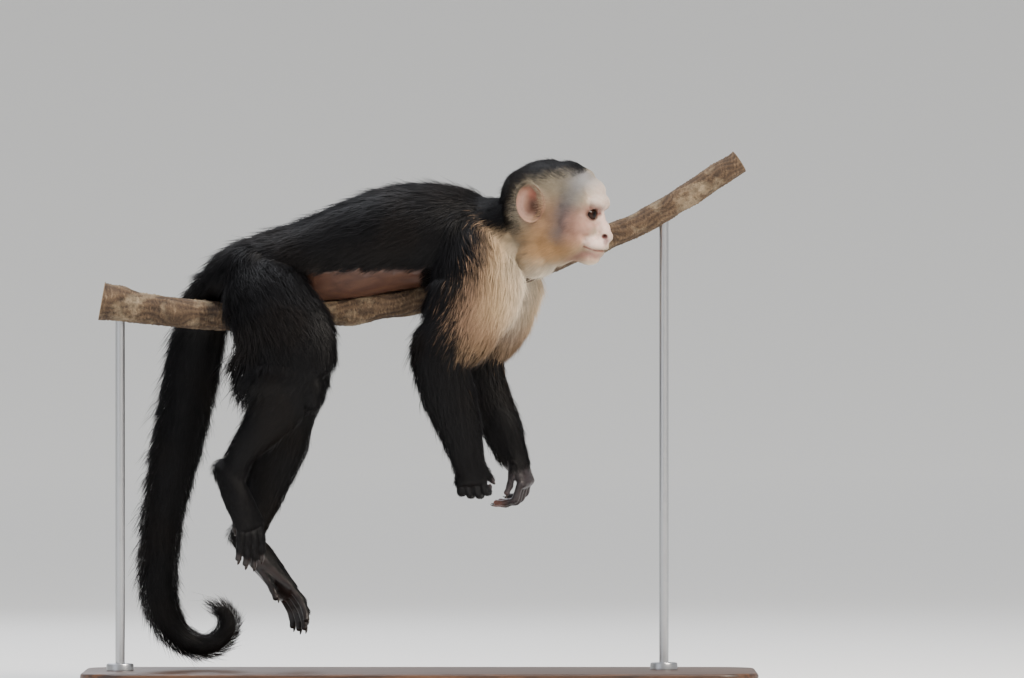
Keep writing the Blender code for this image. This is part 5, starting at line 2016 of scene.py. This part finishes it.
        return hand_over(piece)

    def fill(self, mesh: Mesh, points: Rows) -> None:
        """Makes each five points of the array a closed spindle of three sides."""
        tuft = np.array([(0, 2, 1), (0, 3, 2), (0, 1, 3), (4, 1, 2), (4, 2, 3), (4, 3, 1)])
        count = len(points) // 5
        faces = (tuft[None] + 5 * np.arange(count)[:, None, None]).reshape(-1, 3)
        mesh.vertices.add(len(points))
        mesh.vertices.foreach_set("co", (points * MM).astype(np.float32).ravel())
        mesh.loops.add(faces.size)
        mesh.loops.foreach_set("vertex_index", faces.ravel().astype(np.int32))
        mesh.polygons.add(len(faces))
        mesh.polygons.foreach_set("loop_start", np.arange(0, faces.size, 3, dtype=np.int32))
        mesh.update(calc_edges=True)
        mesh.shade_smooth()

    def unwrap(self, name: str, roots: Rows) -> Rows:
        """Each root's place on the skin unrolled: along the part's line, and round it.

        Args:
            name: The piece of the coat.
            roots: Its tufts' places.

        Returns:
            Two numbers from 0 to 1 for each root.
        """
        if name in ("head", "face"):
            head = head_space(roots)
            x, y, z = head.T
            rise = np.arctan2(z + 6, np.hypot(x - 4, y))
            return np.stack([0.5 + np.arctan2(y, x - 4) / math.tau, 0.5 + rise / math.pi], axis=1)
        rows = [line for line in flow_lines() if line.part == name] or flow_lines()[:1]
        path = np.vstack([np.asarray(line.points, float)[:, :3] for line in rows[:2]])
        lengths = np.concatenate([[0], np.cumsum(norms(np.diff(path, axis=0)))])
        best, along = np.full(len(roots), np.inf), np.zeros(len(roots))
        offset = np.zeros((len(roots), 3))
        for i in range(len(path) - 1):
            share, away = beside(roots, path[i], path[i + 1])
            reach = norms(away)
            nearer = reach < best
            best = np.where(nearer, reach, best)
            along = np.where(nearer, lengths[i] + share * (lengths[i + 1] - lengths[i]), along)
            offset[nearer] = away[nearer]
        upright = name not in ("back", "rump", "chest")
        turn = np.arctan2(offset[:, 1], offset[:, 0] if upright else offset[:, 2])
        return np.stack([along / lengths[-1], 0.5 + turn / math.tau], axis=1)

    def map_bake(self, mesh: Mesh, name: str, roots: Rows) -> None:
        """Gives each tuft its small patch of the bake map.

        Args:
            mesh: The coat's piece.
            name: The part of the body.
            roots: Its tufts' places.
        """
        place = self.unwrap(name, roots) * 0.99 + 0.005
        corners = np.array([(0, -1), (-1, 0), (0, 0.1), (1, 0), (0, 1)]) * self.patch
        points = (place[:, None, :] + corners).reshape(-1, 2)
        loops = rows_of(mesh.loops, "vertex_index", 1, np.int32)
        made = mesh.uv_layers.new(name="OFBake")
        made.uv.foreach_set("vector", points[loops].astype(np.float32).ravel())


# --- Eyes and nails ---


@dataclass
class Eyes:
    """Two round eyeballs with a slight corneal bulge."""

    gaze: Point = (17.0, -2.0)  # degrees out to the side, and down
    bulge: float = 0.55
    bulge_angle: float = 40.0

    def build(self) -> list[Piece]:
        """Makes both eyeballs."""
        made = []
        for side in Side:
            bm = bmesh.new()
            bmesh.ops.create_uvsphere(bm, u_segments=64, v_segments=48, radius=EYE_RADIUS * MM)
            piece = object_of(bm, f"eyeball_{side.word}")
            points = points_of(piece.data)
            angle = np.degrees(np.arccos(np.clip(points[:, 2] / EYE_RADIUS, -1, 1)))
            swell = self.bulge * fade(angle, self.bulge_angle, 8)
            put_points(piece.data, points * (1 + swell / EYE_RADIUS)[:, None])
            value_attribute(piece.data, "Angle", angle / 90)
            value_attribute(piece.data, "Spoke", np.arctan2(points[:, 1], points[:, 0]) / math.tau)
            out, down = self.gaze
            turn = Matrix.Rotation(math.radians(side.value * out), 4, "Z")
            turn = turn @ Matrix.Rotation(math.radians(90 - down), 4, "Y")
            piece.data.transform(eye_place(side) @ turn)
            EYE.dress(piece)
            made.append(hand_over(piece, [f"eye_{side.word}"]))
        return made


@dataclass
class Nails:
    """The claw-like nails: arched, tapering and turned down over each digit's tip."""

    long: float = 6.2
    wide: float = 1.9
    high: float = 1.1
    arch: float = 0.16  # how much the nail turns down to its sides, in each millimetre
    curl: float = 0.055  # how much it turns down along its length

    def build(self) -> list[Piece]:
        """Makes one piece of nails for each hand and foot."""
        made = []
        for kind, parts in (("hand", HANDS), ("foot", FEET)):
            for part in parts:
                bm = bmesh.new()
                for digit in part.digits():
                    self.add_nail(bm, digit)
                piece = object_of(bm, f"nails_{kind}_{part.side.word}")
                HORN.dress(piece)
                made.append(hand_over(piece))
        return made

    def add_nail(self, bm: BMesh, digit: Digit) -> None:
        """Adds one nail."""
        size = digit.radius / 4.0
        verts = bmesh.ops.create_uvsphere(bm, u_segments=20, v_segments=12, radius=1.0)["verts"]
        for vert in verts:
            x, y, z = vert.co
            along = (x + 0.55) * self.long / 2 * size
            taper = 1 - 0.42 * (x + 1) / 2
            across = y * self.wide * size * taper
            up = z * self.high * size * taper
            up -= (self.arch * across**2 + self.curl * max(0.0, along) ** 2) / size
            vert.co = Vector((along, across, up)) * MM
        bmesh.ops.transform(bm, matrix=digit.nail_frame(), verts=verts)


# --- The branch and the stand ---


@dataclass
class Branch:
    """A cut length of branch: a tube of ridged bark with sawn ends."""

    sides: int = 110
    step: float = 0.95
    wrinkle: float = 0.75
    furrow: float = 0.4
    lump: float = 0.7
    lip: float = 1.3  # how far the bark's cut edge stands back
    rings: Point = (2.6, 2.6, 2.6)
    no_end: float = 9.0  # the reach given to points that aren't on an end
    ring_height: float = 0.55  # what the sawn wood's rings read at its rim

    def build(self) -> list[Piece]:
        """Makes the bark and the two sawn faces."""
        path = smoothed(BRANCH, self.step)
        centre, radius = path[:, :3], path[:, 3]
        along = unit(np.gradient(centre, axis=0))
        side = unit(np.array([0, 1, 0]) - along * along[:, 1:2])
        up = np.cross(along, side)
        bm = bmesh.new()
        wrap(bm, centre, side * radius[:, None], up * radius[:, None], self.sides)
        self.inset_ends(bm)
        piece = object_of(bm, "branch_bark")
        reach = self.end_reach(points_of(piece.data), path)
        self.roughen(piece, reach, centre, along, side, up)
        BARK.dress(piece)
        piece.data.materials.append(SAWN.material())
        flags = np.zeros(len(piece.data.polygons), np.int32)
        for face in piece.data.polygons:
            if all(reach[v] < 1.0 for v in face.vertices):
                flags[face.index] = 1
        piece.data.polygons.foreach_set("material_index", flags)
        return [hand_over(piece, ["perch_branch"])]

    def inset_ends(self, bm: BMesh) -> None:
        """Insets the end faces into rings for the sawn wood."""
        for face in [face for face in bm.faces if len(face.verts) > 4]:
            for thick in (self.lip, *self.rings):
                bmesh.ops.inset_region(bm, faces=[face], thickness=thick * MM, use_even_offset=True)
            bmesh.ops.poke(bm, faces=[face])

    def end_reach(self, points: Rows, path: Rows) -> Rows:
        """How far each point of an end lies from the pith beside the sawn wood's radius.

        Args:
            points: The branch's points.
            path: Its centre and radius, from end to end.

        Returns:
            0 at the pith, 1 at the rim, and no_end off the ends.
        """
        reach = np.full(len(points), self.no_end)
        for row, other in ((path[0], path[1]), (path[-1], path[-2])):
            away = points - row[:3]
            out = unit((row - other)[:3])
            flat = np.abs(away @ out) < 0.9
            across = norms(away - (away @ out)[:, None] * out)
            reach = np.where(flat, across / (row[3] - self.lip + 0.05), reach)
        return reach

    def roughen(
        self,
        piece: Piece,
        reach: Rows,
        centre: Rows,
        along: Rows,
        side: Rows,
        up: Rows,
    ) -> None:
        """Raises the bark's wrinkles, furrows and lumps, and stores their height.

        Args:
            piece: The branch.
            reach: What end_reach says.
            centre: The middle of each ring.
            along: The way the branch runs there.
            side: A direction across it.
            up: The other one.
        """
        mesh = piece.data
        points = points_of(mesh)
        nearest = np.clip(np.searchsorted(centre[:, 0], points[:, 0]), 1, len(centre) - 2)
        away = points - centre[nearest]
        flat = away - (away * along[nearest]).sum(axis=1)[:, None] * along[nearest]
        turn = np.arctan2((flat * up[nearest]).sum(axis=1), (flat * side[nearest]).sum(axis=1))
        lengths = np.concatenate([[0], np.cumsum(norms(np.diff(centre, axis=0)))])
        far = lengths[nearest]
        radius = norms(flat)
        wave = ripple(points, 22, 61) * 2.4 + ripple(points, 7, 62) * 0.9
        cross = np.sin(far * math.tau / 3.2 + wave * 1.6) * 0.5 + 0.5
        cross = cross**1.5 * fade(ripple(points, 9, 63), -0.7, 0.9)
        strands = 0.5 + 0.5 * np.sin(turn * 13 + ripple(points, 30, 64) * 3.5)
        lumps = ripple(points, 24, 65)
        pits = fade(ripple(points, 3.4, 66, 14), 0.1, 1.0)
        sawn = reach < self.no_end
        edge = np.where(sawn, 0, fade(np.minimum(far, lengths[-1] - far), 1.3, 4.0))
        shift = self.wrinkle * (cross - 0.6) + self.furrow * (strands**2 - 0.6) + self.lump * lumps
        shift -= 0.2 * pits
        moved = points + unit(flat) * (shift * edge * fade(radius, 6, 10))[:, None]
        # the height also sets the bark's colour: paler crests, with cracks and pits darkened partly as
        # painted shade
        height = 0.42 + 0.36 * (cross - 0.4) + 0.22 * (strands - 0.5) + 0.1 * lumps - 0.12 * pits
        height = np.where(sawn, reach * self.ring_height, height)
        put_points(mesh, moved)
        value_attribute(mesh, "Ridge", height)


@dataclass
class Stand:
    """The display stand: a walnut board and two steel rods with collars."""

    board: Point = (640, 240, 18)
    corner: float = 40.0
    ease: float = 3.0
    rod_x: dict[str, float] = field(default_factory=lambda: {"rear": -284.0, "front": 232.0})
    rod_radius: float = 4.5
    collar: Point = (13.0, 7.0)
    seat: float = 1.5  # how far each rod's top reaches into the bark's furrows

    def build(self) -> list[Piece]:
        """Makes the board, the rods and the collars."""
        made = [self.make_board()]
        path = smoothed(BRANCH, 1.0)
        for name, x in self.rod_x.items():
            row = path[np.argmin(np.abs(path[:, 0] - x))]
            made += [self.make_rod(name, row), self.make_collar(name, row)]
        return made

    def make_board(self) -> Piece:
        """A board with rounded corners and an eased edge."""
        bm = bmesh.new()
        long, wide, thick = (size * MM for size in self.board)
        place = Matrix.Translation((0, 0, thick / 2)) @ Matrix.Diagonal((long, wide, thick, 1))
        bmesh.ops.create_cube(bm, size=1.0, matrix=place)
        upright = [edge for edge in bm.edges if abs(edge.verts[0].co.z - edge.verts[1].co.z) > thick / 2]
        bmesh.ops.bevel(
            bm, geom=upright, offset=self.corner * MM, segments=20, profile=0.5, affect="EDGES", material=-1
        )
        rims = [edge for edge in bm.edges if abs(edge.verts[0].co.z - edge.verts[1].co.z) < 1e-6]
        bmesh.ops.bevel(
            bm, geom=rims, offset=self.ease * MM, segments=5, profile=0.5, affect="EDGES", material=-1,
            clamp_overlap=True,
        )
        piece = object_of(bm, "stand_board")
        WALNUT.dress(piece)
        return hand_over(piece, ["stand_base"])

    def turned(self, name: str, profile: Sequence[Point], x: float, y: float) -> Piece:
        """A turned piece from its radius and height at each corner.

        Args:
            name: The piece's name.
            profile: Its corners.
            x: Where its axis stands.
            y: The same.

        Returns:
            The piece.
        """
        bm = turned_shape(profile, 48)
        bmesh.ops.translate(bm, verts=bm.verts, vec=(x * MM, y * MM, 0))
        piece = object_of(bm, name)
        piece.data.set_sharp_from_angle(angle=math.radians(35))
        STEEL.dress(piece)
        return piece

    def make_rod(self, name: str, row: Rows) -> Piece:
        """A rod from the board to the branch, with a short chamfer at its foot."""
        x, y, z, radius = row
        top = z - radius + self.seat
        low = self.board[2] + 0.35
        wide = self.rod_radius
        profile = ((0, low), (wide - 0.5, low), (wide, low + 0.5), (wide, top), (0, top))
        piece = self.turned(f"rod_{name}", profile, x, y)
        return hand_over(piece, [f"stand_rod_{name}"])

    def make_collar(self, name: str, row: Rows) -> Piece:
        """The collar that holds a rod to the board."""
        wide, high = self.collar
        low = self.board[2] + 0.35
        top = self.board[2] + high
        bore = self.rod_radius + 0.35
        profile = (
            (bore, low), (wide, low), (wide, top - 1.6), (wide - 0.5, top - 0.5), (wide - 1.6, top),
            (bore + 0.8, top), (bore, top - 0.8), (bore, low),
        )
        piece = self.turned(f"collar_{name}", profile, row[0], row[1])
        return hand_over(piece, [f"stand_collar_{name}"])


# --- The studio ---


@dataclass
class Studio:
    """A round pale floor with a curved rim, soft lights, and the camera level with the animal."""

    look_at: Point = (87.4, 0.0, 332.8)
    distance: float = 10_810.0
    lens: float = 400.0
    floor_radius: float = 17_000.0  # so wide that every camera stands inside the rim
    bend: float = 2_000.0
    rim: float = 2_400.0

    def build(self) -> None:
        """Sets the stage."""
        self.floor()
        self.camera()
        self.lights()

    def floor(self) -> None:
        """A round sheet of pale paper, spun from its profile, whose rim bends up all round."""
        profile = [(0.0, 0.0), (2e3, 0.0), (6e3, 0.0), (self.floor_radius, 0.0)]
        for turn in np.radians(np.linspace(6, 90, 15)):
            out, high = self.bend * math.sin(turn), self.bend * (1 - math.cos(turn))
            profile.append((self.floor_radius + out, high))
        profile.append((self.floor_radius + self.bend, self.bend + self.rim))
        bm = turned_shape(profile, 128)
        if sum(face.normal.z for face in bm.faces) < 0:
            bmesh.ops.reverse_faces(bm, faces=bm.faces)
        piece = object_of(bm, "studio_floor")
        PAPER.dress(piece)

    def camera(self) -> None:
        """A long lens, level, from the animal's right side."""
        data = bpy.data.cameras.new("camera")
        data.lens = self.lens
        data.clip_end = 100.0
        camera = bpy.data.objects.new("camera", data)
        bpy.context.scene.collection.objects.link(camera)
        x, y, z = self.look_at
        camera.location = Vector((x, y - self.distance, z)) * MM
        camera.rotation_euler = (math.pi / 2, 0, 0)
        bpy.context.scene.camera = camera

    def lights(self) -> None:
        """A key from the upper right, a broad fill, a rim from behind and a pale sky."""
        middle = Vector((0.0, 0.0, 0.3))
        for name, place, size, power, code in (
            ("key", (1.5, -1.6, 1.9), 0.8, 92.0, "#fff4e6"),
            ("fill", (-2.2, -2.2, 0.9), 2.2, 11.0, "#e8eefb"),
            ("top", (-0.5, -0.1, 2.3), 0.9, 36.0, "#eef1f8"),
            ("back", (-0.9, 2.0, 1.7), 1.6, 25.0, "#edf2fc"),
        ):
            data = bpy.data.lights.new(name, "AREA")
            data.size = size
            data.energy = power
            data.color = linear(code)
            lamp = bpy.data.objects.new(name, data)
            bpy.context.scene.collection.objects.link(lamp)
            lamp.location = place
            lamp.rotation_euler = (middle - lamp.location).to_track_quat("-Z", "Y").to_euler()
        sky = bpy.data.lights.new("sky", "SUN")
        sky.energy = 1.0
        sky.angle = math.radians(50)
        bpy.context.scene.collection.objects.link(bpy.data.objects.new("sky", sky))
        world = bpy.data.worlds.new("studio")
        bpy.context.scene.world = world
        world.use_nodes = True
        ground = world.node_tree.nodes["Background"]
        ground.inputs["Color"].default_value = (*linear("#eceef2"), 1.0)
        ground.inputs["Strength"].default_value = 0.66


def main() -> None:
    """Builds every piece in order."""
    logging.basicConfig(level=logging.INFO, format="%(name)s: %(message)s")
    Studio().build()
    Stand().build()
    Branch().build()
    skin = Hide().build()
    Eyes().build()
    Nails().build()
    Coat().build(skin)


if __name__ == "__main__":
    main()
